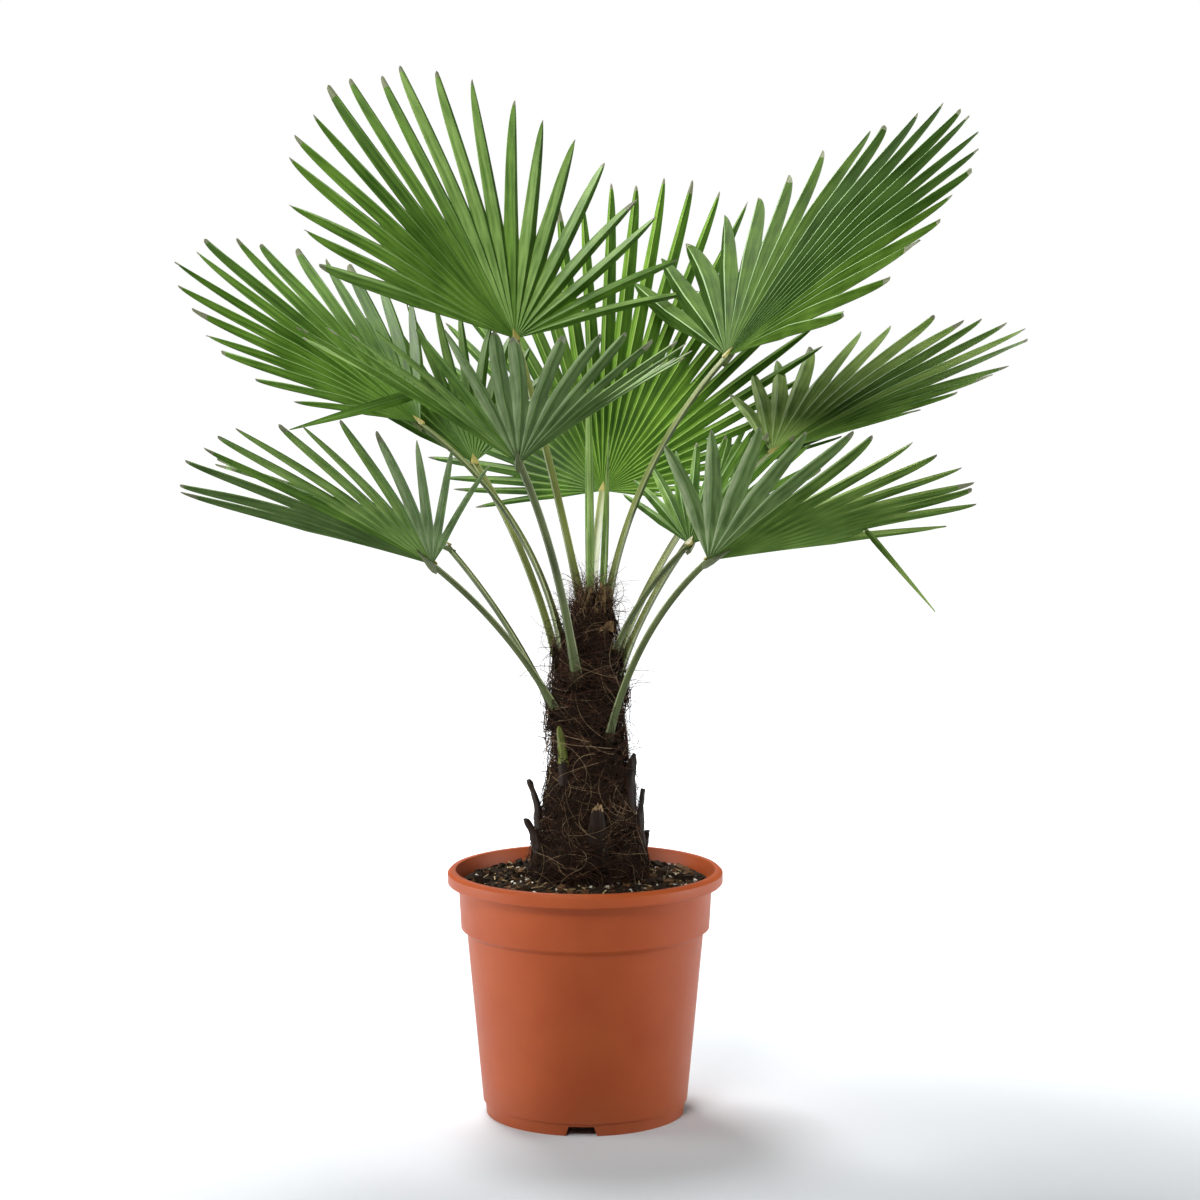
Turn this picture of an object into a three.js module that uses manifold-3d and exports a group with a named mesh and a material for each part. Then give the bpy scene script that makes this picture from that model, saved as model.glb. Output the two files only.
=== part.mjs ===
// Potted fan palm: a fibrous trunk, arching stalks and pleated fan blades, in a moulded nursery pot.
// Millimetres, +Z up, +Y away from the viewer. The origin is on the floor, under the pot's axis.
import * as THREE from "three";
import { mergeVertices } from "three/addons/utils/BufferGeometryUtils.js";
import Module from "manifold-3d";

const wasm = await Module();
wasm.setup();

const up = new THREE.Vector3(0, 0, 1);
const gap = 0.4; // between pieces that touch on the real plant

// Pot
const pot = {
  height: 250,
  rimRadius: 140,
  rimDepth: 14,
  rimWidth: 8,
  wall: 3,
  collarTop: 129, // outer radius under the rim
  collarFoot: 126.5, // outer radius above the ledge
  ledge: 186, // height of the step-in
  bodyTop: 120.5, // outer radius under the ledge
  bodyFoot: 104.5,
  footRadius: 101.5,
  footHeight: 12,
  footWidth: 9,
  floorRise: 10,
  padRadius: 34, // the middle of the floor reaches down to the ground
  sides: 56,
};
const notch = { count: 4, widthFoot: 34, widthTop: 25, height: 9.6, turn: -92 };

// Compost in the pot
const soil = { edge: 237, crown: 242, seatRadius: 66, moundWidth: 26, moundRise: 3, sides: 40 };

// Trunk, from its flat foot on the compost to its top between the youngest stalks
const trunk = {
  foot: soil.crown + gap,
  sides: 20,
  levels: 15,
  lump: 0.035,
  stations: [
    { z: soil.crown + gap, x: 2, radius: 60 },
    { z: 275, x: 3, radius: 54 },
    { z: 320, x: 4, radius: 45 },
    { z: 361, x: 5, radius: 38.5 },
    { z: 422, x: 3, radius: 34.5 },
    { z: 484, x: 2, radius: 30.5 },
    { z: 514, x: 6, radius: 23 },
    { z: 532, x: 10, radius: 16 },
  ],
};

// Old leaf bases left on the trunk: turn is the compass angle round it, and lean tips them outwards
const stubs = [
  { name: "stub_left_high", turn: 187, root: 292, rise: 50, width: 20, lean: 20 },
  { name: "stub_left_low", turn: 205, root: 268, rise: 38, width: 22, lean: 22 },
  { name: "stub_right_high", turn: -22, root: 312, rise: 58, width: 20, lean: 9 },
  { name: "stub_right_mid", turn: -8, root: 272, rise: 60, width: 22, lean: 11 },
  { name: "stub_right_low", turn: 14, root: 250, rise: 36, width: 20, lean: 10 },
  { name: "stub_front", turn: -81, root: 262, rise: 60, width: 34, lean: 10 },
  { name: "stub_front_green", turn: -128, root: 340, rise: 60, width: 20, lean: 12 },
  { name: "stub_back_left", turn: 128, root: 280, rise: 54, width: 24, lean: 16 },
  { name: "stub_back_right", turn: 62, root: 300, rise: 56, width: 24, lean: 16 },
  { name: "stub_back_low", turn: 96, root: 256, rise: 40, width: 24, lean: 16 },
];
const stubShape = { thickness: 7, narrows: 0.75, thins: 0.6, sag: 0.25, steps: 5 };

// Unopened blades that stand on the trunk's top
const spearShape = { sides: 8, levels: 8, furrow: 0.75, foot: 0.75, swell: 0.6, taper: 1.2 };
const spears = [
  { name: "spear_tall", foot: [5, -2], tip: [3, 6, 800], radius: 8.6 },
  { name: "spear_short", foot: [18, 3], tip: [24, 10, 690], radius: 5.6 },
];

// Stalks and blades. base is the stalk's turn and height on the trunk, hub is where the leaflets
// meet, aim is the middle leaflet's compass angle and rise, roll turns the blade about it. skew
// joins the leaflets of one side further than the other's, and lopside makes them shorter.
const fronds = [
  {
    name: "top_left",
    base: [120, 506],
    hub: [-73, 109, 787],
    bulge: 0.02,
    aim: [130, 62],
    roll: -4,
    length: 344,
    spread: 80,
    sideCut: 0.2,
    cup: 10,
    droop: 0.03,
    notch: 0.45,
    skew: 0.13,
    leaflets: 20,
    seed: 1,
  },
  {
    name: "top_right",
    base: [14, 498],
    hub: [145, 68, 769],
    bulge: 0.08,
    aim: [15, 50],
    roll: -4,
    length: 370,
    spread: 84,
    sideCut: 0.1,
    cup: 11,
    droop: 0.05,
    notch: 0.54,
    leaflets: 21,
    seed: 2,
  },
  {
    name: "left_upper",
    base: [178, 466],
    hub: [-168, 37, 701],
    bulge: 0.1,
    aim: [177, 41],
    roll: 20,
    length: 308,
    spread: 64,
    sideCut: 0.36,
    cup: 17,
    droop: 0.06,
    notch: 0.52,
    leaflets: 16,
    seed: 3,
  },
  {
    name: "front_left",
    base: [247, 440],
    hub: [-62, -160, 670],
    bulge: 0.06,
    aim: [268.5, 32],
    roll: -1,
    length: 268,
    spread: 80,
    sideCut: 0.25,
    cup: 49,
    droop: 0.05,
    lopside: 0.11,
    notch: 0.45,
    leaflets: 22,
    seed: 4,
    bent: { leaflet: 0, keeps: 0.1, end: [-277, -176, 702], width: 12 },
  },
  {
    name: "left_lower",
    base: [205, 405],
    hub: [-149, -80, 567],
    bulge: 0.05,
    aim: [236, 35],
    roll: -8,
    length: 298,
    spread: 46,
    sideCut: 0.15,
    cup: 0,
    droop: 0.07,
    notch: 0.42,
    skew: -0.14,
    leaflets: 13,
    seed: 5,
  },
  {
    name: "right_upper",
    base: [-4, 438],
    hub: [192, 65, 670],
    bulge: 0.07,
    aim: [31, 31],
    roll: -3,
    length: 320,
    spread: 66,
    sideCut: 0.47,
    cup: 16,
    droop: 0.06,
    notch: 0.5,
    leaflets: 16,
    seed: 8,
  },
  {
    name: "front_right",
    base: [301, 378],
    hub: [120, -106, 573],
    bulge: 0.1,
    aim: [323, 27],
    roll: 15,
    length: 280,
    spread: 59,
    sideCut: 0.05,
    cup: 15,
    droop: 0.04,
    notch: 0.5,
    skew: 0.05,
    leaflets: 14,
    seed: 9,
    bent: { leaflet: 12, keeps: 0.1, end: [336, -145, 527], width: 6.5 },
  },
  {
    name: "centre_rear",
    base: [86, 500],
    hub: [18, 280, 619],
    bulge: 0.04,
    aim: [67, 67],
    roll: 6,
    length: 400,
    spread: 97,
    sideCut: 0.69,
    cup: 0,
    droop: 0.02,
    notch: 0.46,
    lopside: -0.07,
    leaflets: 34,
    seed: 7,
  },
  {
    name: "left_rear",
    base: [168, 398],
    hub: [-140, 20, 578],
    bulge: 0.04,
    aim: [168, 22],
    roll: -10,
    length: 262,
    spread: 52,
    sideCut: 0.3,
    cup: 5,
    droop: 0.06,
    leaflets: 12,
    seed: 6,
  },
  {
    name: "right_lower",
    base: [338, 462],
    hub: [104, -30, 583],
    bulge: 0.06,
    aim: [58, 40],
    roll: 0,
    length: 190,
    spread: 60,
    sideCut: 0.3,
    cup: 5,
    droop: 0.06,
    leaflets: 14,
    seed: 10,
  },
  {
    name: "rear_left",
    base: [150, 430],
    hub: [-118, 150, 656],
    bulge: 0.05,
    aim: [122, 58],
    roll: 0,
    length: 222,
    spread: 58,
    sideCut: 0.3,
    cup: 5,
    droop: 0.06,
    leaflets: 14,
    seed: 11,
  },
  {
    name: "rear_right",
    base: [40, 440],
    hub: [140, 130, 640],
    bulge: 0.05,
    aim: [34, 30],
    roll: 0,
    length: 200,
    spread: 46,
    sideCut: 0.3,
    cup: 5,
    droop: 0.06,
    leaflets: 14,
    seed: 12,
  },
];
const youngest = "centre_rear"; // its blade is still bright
const stalk = {
  baseWidth: 17,
  flareShare: 0.22, // of the stalk's length, over which it narrows from its base
  width: 9.5,
  hubWidth: 8,
  depth: 0.72, // as a share of its width
  steps: 12,
  hubPiece: 0.05, // share of its length that is one with the blade
};
const blade = {
  thickness: 3.7,
  notch: 0.47, // share of a leaflet that is joined to the next, where its frond names none
  fold: 30, // slope of a pleat
  lengthPlay: 0.05,
  swayPlay: 0.5,
  freeWidth: 0.95, // of a leaflet past its notch, as a share of its joined width
  thins: 0.35, // how much thinner a leaflet is at its tip
  blunt: 0.3, // how late a leaflet narrows to its tip: nearer 0 is later
  stations: [0.42, 0.8], // shares of the free part that have a cross-section
  reaches: [1, 0.85, 0.7, 0.55, 0.4, 0.25, 0.12], // shares of the free part tried in turn
};
// A leaflet's hanging end past its knee: shares of its broadest width at shares of its length
const bentEnd = { shares: [0, 0.12, 0.55, 1], widths: [0.25, 1, 0.85, 0.12] };

// Colours
function material(colour, roughness) {
  return new THREE.MeshStandardMaterial({ color: colour, roughness, metalness: 0 });
}
const potPlastic = material(0xb5603c, 0.5);
const compost = material(0x2b2119, 0.95);
const trunkFibre = material(0x3a281c, 0.95);
const stubBark = material(0x30231a, 0.8);
const stalkGreen = material(0x5c7a2e, 0.5);
const bladeGreen = material(0x3f6b26, 0.5);
const youngGreen = material(0x5f931f, 0.5);

// Solids
function closedMesh(points, triangles) {
  const geometry = new THREE.BufferGeometry();
  const flat = points.flatMap((p) => [p.x, p.y, p.z]);
  geometry.setAttribute("position", new THREE.Float32BufferAttribute(flat, 3));
  geometry.setIndex(triangles.flat());
  return geometry;
}

function toSolid(geometry) {
  const bare = geometry.clone();
  bare.deleteAttribute("normal");
  bare.deleteAttribute("uv");
  const merged = mergeVertices(bare, 1e-3);
  const mesh = new wasm.Mesh({
    numProp: 3,
    vertProperties: new Float32Array(merged.attributes.position.array),
    triVerts: new Uint32Array(merged.index.array),
  });
  return new wasm.Manifold(mesh);
}

function toGeometry(solid) {
  const mesh = solid.getMesh();
  const geometry = new THREE.BufferGeometry();
  geometry.setAttribute("position", new THREE.Float32BufferAttribute(mesh.vertProperties, 3));
  geometry.setIndex(new THREE.Uint32BufferAttribute(mesh.triVerts, 1));
  return geometry.toNonIndexed();
}

// The largest body of a solid, so that a cut leaves no loose scrap
function largest(solid) {
  return solid.decompose().sort((a, b) => b.volume() - a.volume())[0];
}

// A number from 0 to 1 that repeats for the same two numbers
function chance(index, seed) {
  const wave = Math.sin(index * 12.9898 + seed * 78.233) * 43758.5453;
  return wave - Math.floor(wave);
}

function bearing(degrees) {
  const angle = THREE.MathUtils.degToRad(degrees);
  return new THREE.Vector3(Math.cos(angle), Math.sin(angle), 0);
}

// A closed body through rings of equal size, each a list of points anticlockwise about the way on
function loft(rings) {
  const sides = rings[0].length;
  const points = rings.flat();
  const triangles = [];
  for (let i = 0; i + 1 < rings.length; i++) {
    for (let j = 0; j < sides; j++) {
      const a = i * sides + j;
      const b = i * sides + ((j + 1) % sides);
      triangles.push([a, b, b + sides], [a, b + sides, a + sides]);
    }
  }
  const last = (rings.length - 1) * sides;
  for (let j = 1; j + 1 < sides; j++) {
    triangles.push([0, j + 1, j], [last, last + j, last + j + 1]);
  }
  return closedMesh(points, triangles);
}

function lathe(outline, sides) {
  const profile = outline.map(([r, z]) => new THREE.Vector2(r, z));
  return new THREE.LatheGeometry(profile, sides).rotateX(Math.PI / 2);
}

function makePot() {
  const { wall, rimDepth, rimWidth, rimRadius, height } = pot;
  const lipRadius = 3; // the rim's rounded outer edge
  const rimInner = rimRadius - rimWidth;
  const outline = [
    [0, 0],
    [pot.padRadius, 0],
    [pot.padRadius + 6, pot.floorRise],
    [pot.footRadius - pot.footWidth - 3, pot.floorRise],
    [pot.footRadius - pot.footWidth, 0],
    [pot.footRadius, 0],
    [pot.footRadius + 1, pot.footHeight],
    [pot.bodyFoot, pot.footHeight + 1],
    [pot.bodyTop, pot.ledge],
    [pot.collarFoot, pot.ledge + 5],
    [pot.collarTop, height - rimDepth],
    [rimRadius - 1.5, height - rimDepth],
    [rimRadius, height - rimDepth + 1.5],
    [rimRadius, height - lipRadius],
    [rimRadius - lipRadius, height],
    [rimInner, height],
    [pot.collarTop - wall, height - rimDepth - 4],
    [pot.collarFoot - wall, pot.ledge + 5],
    [pot.bodyTop - wall, pot.ledge - 3],
    [pot.bodyFoot - wall, pot.floorRise + wall],
    [pot.padRadius + 4, pot.floorRise + wall],
    [pot.padRadius - 2, wall + 1],
    [0, wall + 1],
  ];
  let solid = toSolid(lathe(outline, pot.sides));
  for (let i = 0; i < notch.count; i++) {
    solid = solid.subtract(toSolid(notchCutter(notch.turn + (i * 360) / notch.count)));
  }
  return toGeometry(solid);
}

// A radial prism with a trapezoid face, through the foot ring only
function notchCutter(turn) {
  const below = 2;
  const shape = new THREE.Shape();
  shape.moveTo(-notch.widthFoot / 2, -below);
  shape.lineTo(notch.widthFoot / 2, -below);
  shape.lineTo(notch.widthTop / 2, notch.height);
  shape.lineTo(-notch.widthTop / 2, notch.height);
  shape.closePath();
  const inner = pot.footRadius - pot.footWidth - 6;
  const depth = pot.footRadius + 6 - inner;
  const cutter = new THREE.ExtrudeGeometry(shape, { depth, bevelEnabled: false });
  cutter.translate(0, 0, inner);
  cutter.rotateX(Math.PI / 2); // the prism now runs along -Y
  return cutter.rotateZ(THREE.MathUtils.degToRad(turn + 90));
}

function makeSoil() {
  const { wall } = pot;
  const outline = [
    [0, wall + 1 + gap],
    [pot.padRadius - 3, wall + 1 + gap],
    [pot.padRadius + 3.2, pot.floorRise + wall + gap],
    [pot.bodyFoot - wall - gap, pot.floorRise + wall + gap],
    [pot.bodyTop - wall - gap, pot.ledge - 3],
    [pot.collarFoot - wall - gap, pot.ledge + 5 + gap],
    [pot.collarTop - wall - gap - 0.4, soil.edge],
    [soil.seatRadius + soil.moundWidth, soil.edge + soil.moundRise],
    [soil.seatRadius, soil.crown],
    [0, soil.crown],
  ];
  return lathe(outline, soil.sides);
}

// The trunk's centre and radius at a height
function trunkAt(z) {
  const list = trunk.stations;
  const last = list.length - 1;
  const found = list.findIndex((s) => s.z > z);
  const next = found < 1 ? (found === 0 ? 1 : last) : found;
  const [a, b] = [list[next - 1], list[next]];
  const t = THREE.MathUtils.clamp((z - a.z) / (b.z - a.z), 0, 1);
  return {
    x: THREE.MathUtils.lerp(a.x, b.x, t),
    radius: THREE.MathUtils.lerp(a.radius, b.radius, t),
  };
}

function makeTrunk(grow) {
  const top = trunk.stations.at(-1).z;
  const rings = [];
  for (let i = 0; i <= trunk.levels; i++) {
    const z = THREE.MathUtils.lerp(trunk.foot - grow, top + grow, i / trunk.levels);
    const { x, radius } = trunkAt(z);
    const ring = [];
    for (let j = 0; j < trunk.sides; j++) {
      const lump = 1 + trunk.lump * (chance(j + i * trunk.sides, 5) - 0.5) * 2;
      const out = bearing((j * 360) / trunk.sides).multiplyScalar(radius * lump + grow);
      ring.push(new THREE.Vector3(x + out.x, out.y, z));
    }
    rings.push(ring);
  }
  return loft(rings);
}

// A stalk's or stub's cross-section: flat on its upper side, keeled under it
const section = [
  [-0.5, 0.3],
  [-0.42, -0.12],
  [0, -0.62],
  [0.42, -0.12],
  [0.5, 0.3],
  [0, 0.18],
];

// Sections set along a curve; their upper side faces the plant's middle and the sky
function sweep(curve, outward, from, to, steps, sizeAt) {
  const rings = [];
  for (let i = 0; i <= steps; i++) {
    const t = THREE.MathUtils.lerp(from, to, i / steps);
    const along = curve.getTangent(t);
    const upper = up.clone().sub(outward).projectOnPlane(along).normalize();
    const side = new THREE.Vector3().crossVectors(along, upper);
    const centre = curve.getPoint(t);
    const { width, depth } = sizeAt(t);
    const corner = ([a, b]) =>
      centre
        .clone()
        .addScaledVector(side, -a * width)
        .addScaledVector(upper, b * depth);
    rings.push(section.map(corner));
  }
  return loft(rings);
}

function makeStub(stub) {
  const outward = bearing(stub.turn);
  const { x, radius } = trunkAt(stub.root);
  const tipTrunk = trunkAt(stub.root + stub.rise);
  const foot = new THREE.Vector3(x, 0, stub.root).addScaledVector(outward, radius - 1);
  const tip = new THREE.Vector3(tipTrunk.x, 0, stub.root + stub.rise);
  tip.addScaledVector(outward, tipTrunk.radius + stub.lean);
  const bend = foot.clone().lerp(tip, 0.5).addScaledVector(outward, -stub.lean * stubShape.sag);
  const curve = new THREE.QuadraticBezierCurve3(foot, bend, tip);
  const sizeAt = (t) => ({
    width: stub.width * (1 - stubShape.narrows * t * t),
    depth: stubShape.thickness * (1 - stubShape.thins * t),
  });
  return sweep(curve, outward, 0, 1, stubShape.steps, sizeAt);
}

function makeSpear(spear) {
  const foot = new THREE.Vector3(...spear.foot, trunk.stations.at(-1).z + gap);
  const tip = new THREE.Vector3(...spear.tip);
  const { sides, levels, furrow, swell, taper } = spearShape;
  const rings = [];
  for (let i = 0; i <= levels; i++) {
    const t = i / levels;
    const radius = spear.radius * (spearShape.foot + swell * t - taper * t * t);
    const centre = foot.clone().lerp(tip, t);
    const ring = [];
    for (let j = 0; j < sides; j++) {
      const out = bearing((j * 360) / sides).multiplyScalar(radius * (j % 2 ? furrow : 1));
      ring.push(centre.clone().add(out));
    }
    rings.push(ring);
  }
  return loft(rings);
}

// Where a frond's stalk runs
function stalkCurve(frond) {
  const [turn, height] = frond.base;
  const outward = bearing(turn);
  const { x, radius } = trunkAt(height);
  const foot = new THREE.Vector3(x, 0, height).addScaledVector(outward, radius + 1);
  const hub = new THREE.Vector3(...frond.hub);
  const chord = hub.clone().sub(foot);
  const upper = up.clone().sub(outward).projectOnPlane(chord).normalize();
  const bend = foot.clone().lerp(hub, 0.5);
  bend.addScaledVector(upper, 2 * frond.bulge * chord.length());
  return { curve: new THREE.QuadraticBezierCurve3(foot, bend, hub), outward };
}

function stalkSize(t) {
  const flare = Math.max(0, 1 - t / stalk.flareShare) ** 2;
  const width = THREE.MathUtils.lerp(stalk.width, stalk.hubWidth, t);
  const flared = THREE.MathUtils.lerp(width, stalk.baseWidth, flare);
  return { width: flared, depth: width * stalk.depth };
}

function makeStalk(frond) {
  const { curve, outward } = stalkCurve(frond);
  const end = 1 - stalk.hubPiece - gap / curve.getLength();
  return sweep(curve, outward, 0, end, stalk.steps, stalkSize);
}

// The blade's own directions: along its middle leaflet, to its side, and off its upper face
function bladeAxes(frond) {
  const [turn, rise] = frond.aim.map(THREE.MathUtils.degToRad);
  const roll = THREE.MathUtils.degToRad(frond.roll);
  const flat = new THREE.Vector3(Math.cos(turn), Math.sin(turn), 0);
  const mid = flat.clone().multiplyScalar(Math.cos(rise)).addScaledVector(up, Math.sin(rise));
  const face = flat.clone().multiplyScalar(-Math.sin(rise)).addScaledVector(up, Math.cos(rise));
  const side = new THREE.Vector3().crossVectors(face, mid);
  return {
    mid,
    face: face.clone().multiplyScalar(Math.cos(roll)).addScaledVector(side, Math.sin(roll)),
    side: side.clone().multiplyScalar(Math.cos(roll)).addScaledVector(face, -Math.sin(roll)),
  };
}

// An angle's place across the blade: 0 in the middle and 1 or -1 at the sides
function placeAcross(frond, angle) {
  return angle / THREE.MathUtils.degToRad(frond.spread);
}

// How long the blade is at an angle
function reachAt(frond, angle) {
  const across = placeAcross(frond, angle);
  return frond.length * (1 - frond.sideCut * across ** 2 - (frond.lopside ?? 0) * across);
}

// The share of the length at an angle where the leaflets part
function notchAt(frond, angle) {
  return (frond.notch ?? blade.notch) + (frond.skew ?? 0) * placeAcross(frond, angle);
}

// A point of the blade: angle from its middle in radians, along from hub 0 to tip 1, lift off its face
function bladePoint(frond, axes, angle, along, lift) {
  const reach = reachAt(frond, angle);
  const raised = THREE.MathUtils.degToRad(frond.cup) * (angle / (Math.PI / 2)) ** 2;
  const flat = axes.mid.clone().multiplyScalar(Math.cos(angle));
  flat.addScaledVector(axes.side, Math.sin(angle));
  const outwards = flat.clone().multiplyScalar(Math.cos(raised));
  outwards.addScaledVector(axes.face, Math.sin(raised));
  const normal = axes.face.clone().multiplyScalar(Math.cos(raised));
  normal.addScaledVector(flat, -Math.sin(raised));
  const point = new THREE.Vector3(...frond.hub).addScaledVector(outwards, reach * along);
  point.addScaledVector(normal, lift);
  return point.addScaledVector(up, -frond.droop * reach * along * along);
}

// One leaflet's numbers: its middle angle, half its joined width, and its play in length and sway
function leafletOf(frond, index) {
  const half = THREE.MathUtils.degToRad(frond.spread);
  const halfStep = half / frond.leaflets;
  const middle = -half + halfStep * (2 * index + 1);
  return {
    middle,
    halfStep,
    length: 1 - blade.lengthPlay * chance(index, frond.seed),
    sway: halfStep * blade.swayPlay * (chance(index, frond.seed + 50) - 0.5) * 2,
  };
}

// How far pleats stand off the blade's middle surface at a distance from the hub
function pleatLift(frond, angle, halfStep, along) {
  const width = halfStep * reachAt(frond, angle) * along;
  return 0.5 * width * Math.tan(THREE.MathUtils.degToRad(blade.fold));
}

// The free part of a leaflet: left edge, rib top, rib bottom and right edge at each station.
// reach is how much of its length it keeps, and extra thickens it for a test.
function leafletStations(frond, axes, leaflet, reach, extra) {
  const root = notchAt(frond, leaflet.middle);
  const tipAlong = THREE.MathUtils.lerp(root, leaflet.length, reach);
  const fold = pleatLift(frond, leaflet.middle, leaflet.halfStep, root);
  const stations = blade.stations.map((part) => {
    const along = THREE.MathUtils.lerp(root, tipAlong, part);
    const wide = (1 - part) ** blade.blunt * blade.freeWidth;
    const spread = (leaflet.halfStep * wide * root) / along + extra / frond.length;
    const middle = leaflet.middle + leaflet.sway * part;
    const rib = -fold * (1 - part);
    const edge = rib + 2 * fold * wide;
    const thick = (blade.thickness / 2) * (1 - blade.thins * part) + extra;
    return [
      bladePoint(frond, axes, middle - spread, along, edge),
      bladePoint(frond, axes, middle, along, rib + thick),
      bladePoint(frond, axes, middle, along, rib - thick),
      bladePoint(frond, axes, middle + spread, along, edge),
    ];
  });
  const tip = bladePoint(frond, axes, leaflet.middle + leaflet.sway, tipAlong, 0);
  return { stations, tip };
}

// Triangles of a free part: root holds the top and bottom points of left edge, rib and right edge
function leafletSkin(root, near, far, end) {
  const [left, rib, right] = root;
  return [
    [left[0], near[0], near[1]],
    [left[0], near[1], rib[0]],
    [rib[0], near[1], near[3]],
    [rib[0], near[3], right[0]],
    [left[1], near[2], near[0]],
    [left[1], rib[1], near[2]],
    [rib[1], near[3], near[2]],
    [rib[1], right[1], near[3]],
    [left[0], left[1], near[0]],
    [right[1], right[0], near[3]],
    [near[0], far[0], far[1]],
    [near[0], far[1], near[1]],
    [near[1], far[1], far[3]],
    [near[1], far[3], near[3]],
    [near[0], far[2], far[0]],
    [near[0], near[2], far[2]],
    [near[2], far[3], far[2]],
    [near[2], near[3], far[3]],
    [far[0], end, far[1]],
    [far[1], end, far[3]],
    [far[0], far[2], end],
    [far[2], far[3], end],
  ];
}

// The top and bottom points of the blade's column, pleated up or down, at a share of its joined part
function columnPoints(frond, axes, column, share, extra) {
  const half = THREE.MathUtils.degToRad(frond.spread);
  const halfStep = half / frond.leaflets;
  const angle = -half + column * halfStep;
  const along = share * notchAt(frond, angle);
  const lift = pleatLift(frond, angle, halfStep, along) * (column % 2 ? -1 : 1);
  const thick = blade.thickness / 2 + extra;
  return [thick, -thick].map((t) => bladePoint(frond, axes, angle, along, lift + t));
}

// The whole blade as one closed sheet: leaflets joined from the hub to the notches, then free
function bladeSheet(frond, reaches) {
  const axes = bladeAxes(frond);
  const points = [];
  const triangles = [];
  const add = (p) => points.push(p) - 1;
  const thick = blade.thickness / 2;
  const hub = [thick, -thick].map((lift) => add(bladePoint(frond, axes, 0, 0, lift)));
  const last = 2 * frond.leaflets;
  const rowAt = (share) => {
    const row = [];
    for (let j = 0; j <= last; j++) {
      row.push(columnPoints(frond, axes, j, share, 0).map(add));
    }
    return row;
  };
  const inner = rowAt(0.5);
  const outer = rowAt(1);
  for (let j = 0; j < last; j++) {
    triangles.push([hub[0], inner[j][0], inner[j + 1][0]]);
    triangles.push([hub[1], inner[j + 1][1], inner[j][1]]);
    triangles.push([inner[j][0], outer[j][0], outer[j + 1][0]]);
    triangles.push([inner[j][0], outer[j + 1][0], inner[j + 1][0]]);
    triangles.push([inner[j][1], outer[j + 1][1], outer[j][1]]);
    triangles.push([inner[j][1], inner[j + 1][1], outer[j + 1][1]]);
  }
  const first = [inner[0], outer[0]];
  triangles.push([hub[0], hub[1], first[0][1]], [hub[0], first[0][1], first[0][0]]);
  triangles.push([first[0][0], first[0][1], first[1][1]], [first[0][0], first[1][1], first[1][0]]);
  const final = [inner[last], outer[last]];
  triangles.push([hub[1], hub[0], final[0][0]], [hub[1], final[0][0], final[0][1]]);
  triangles.push([final[0][1], final[0][0], final[1][0]], [final[0][1], final[1][0], final[1][1]]);
  for (let i = 0; i < frond.leaflets; i++) {
    const root = outer.slice(2 * i, 2 * i + 3);
    const { stations, tip } = leafletStations(frond, axes, leafletOf(frond, i), reaches[i], 0);
    const [near, far] = stations.map((station) => station.map(add));
    triangles.push(...leafletSkin(root, near, far, add(tip)));
  }
  return closedMesh(points, triangles);
}

// One free leaflet by itself and a little thicker, to find what it would touch
function leafletProbe(frond, axes, index, reach) {
  const points = [];
  const add = (p) => points.push(p) - 1;
  const columns = [2 * index, 2 * index + 1, 2 * index + 2];
  const root = columns.map((c) => columnPoints(frond, axes, c, 1, gap).map(add));
  const leaflet = leafletOf(frond, index);
  const { stations, tip } = leafletStations(frond, axes, leaflet, reach, gap);
  const [near, far] = stations.map((station) => station.map(add));
  const [left, rib, right] = root;
  const cap = [
    [left[0], rib[0], rib[1]],
    [left[0], rib[1], left[1]],
    [rib[0], right[0], right[1]],
    [rib[0], right[1], rib[1]],
  ];
  return toSolid(closedMesh(points, [...leafletSkin(root, near, far, add(tip)), ...cap]));
}

// How much of its free length each leaflet keeps, so that it touches nothing placed before
function clearReaches(frond) {
  const axes = bladeAxes(frond);
  const reaches = [];
  for (let i = 0; i < frond.leaflets; i++) {
    const tries = frond.bent?.leaflet === i ? [frond.bent.keeps] : blade.reaches;
    const keeps = tries.find((reach) => {
      const probe = leafletProbe(frond, axes, i, reach);
      return placed.every(({ solid }) => solid.intersect(probe).isEmpty());
    });
    reaches.push(keeps ?? tries.at(-1));
  }
  return reaches;
}

function makeBlade(frond, reaches) {
  const { curve, outward } = stalkCurve(frond);
  const hubPiece = sweep(curve, outward, 1 - stalk.hubPiece, 1, 2, stalkSize);
  return toSolid(bladeSheet(frond, reaches)).add(toSolid(hubPiece));
}

// The hanging end of a leaflet that is folded over at a knee, as a thin strip of its own
function makeBent(frond) {
  const axes = bladeAxes(frond);
  const leaflet = leafletOf(frond, frond.bent.leaflet);
  const { tip: knee } = leafletStations(frond, axes, leaflet, frond.bent.keeps, 0);
  const end = new THREE.Vector3(...frond.bent.end);
  const way = end.clone().sub(knee).normalize();
  const start = knee.clone().addScaledVector(way, 2 * gap);
  const broad = new THREE.Vector3(0, 1, 0).cross(way).normalize(); // its face is to the viewer
  const thin = new THREE.Vector3().crossVectors(broad, way);
  const rings = bentEnd.shares.map((share, i) => {
    const centre = start.clone().lerp(end, share);
    const half = (bentEnd.widths[i] * frond.bent.width) / 2;
    const thick = Math.min(half, blade.thickness / 2);
    return [
      centre.clone().addScaledVector(broad, half),
      centre.clone().addScaledVector(thin, thick),
      centre.clone().addScaledVector(broad, -half),
      centre.clone().addScaledVector(thin, -thick),
    ].reverse();
  });
  return loft(rings);
}

// Assembly
const palm = new THREE.Group();
const placed = [];

function place(name, geometry, finish) {
  const mesh = new THREE.Mesh(geometry, finish);
  mesh.name = name;
  geometry.computeVertexNormals();
  palm.add(mesh);
  placed.push({ name, solid: toSolid(geometry) });
}

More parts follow.
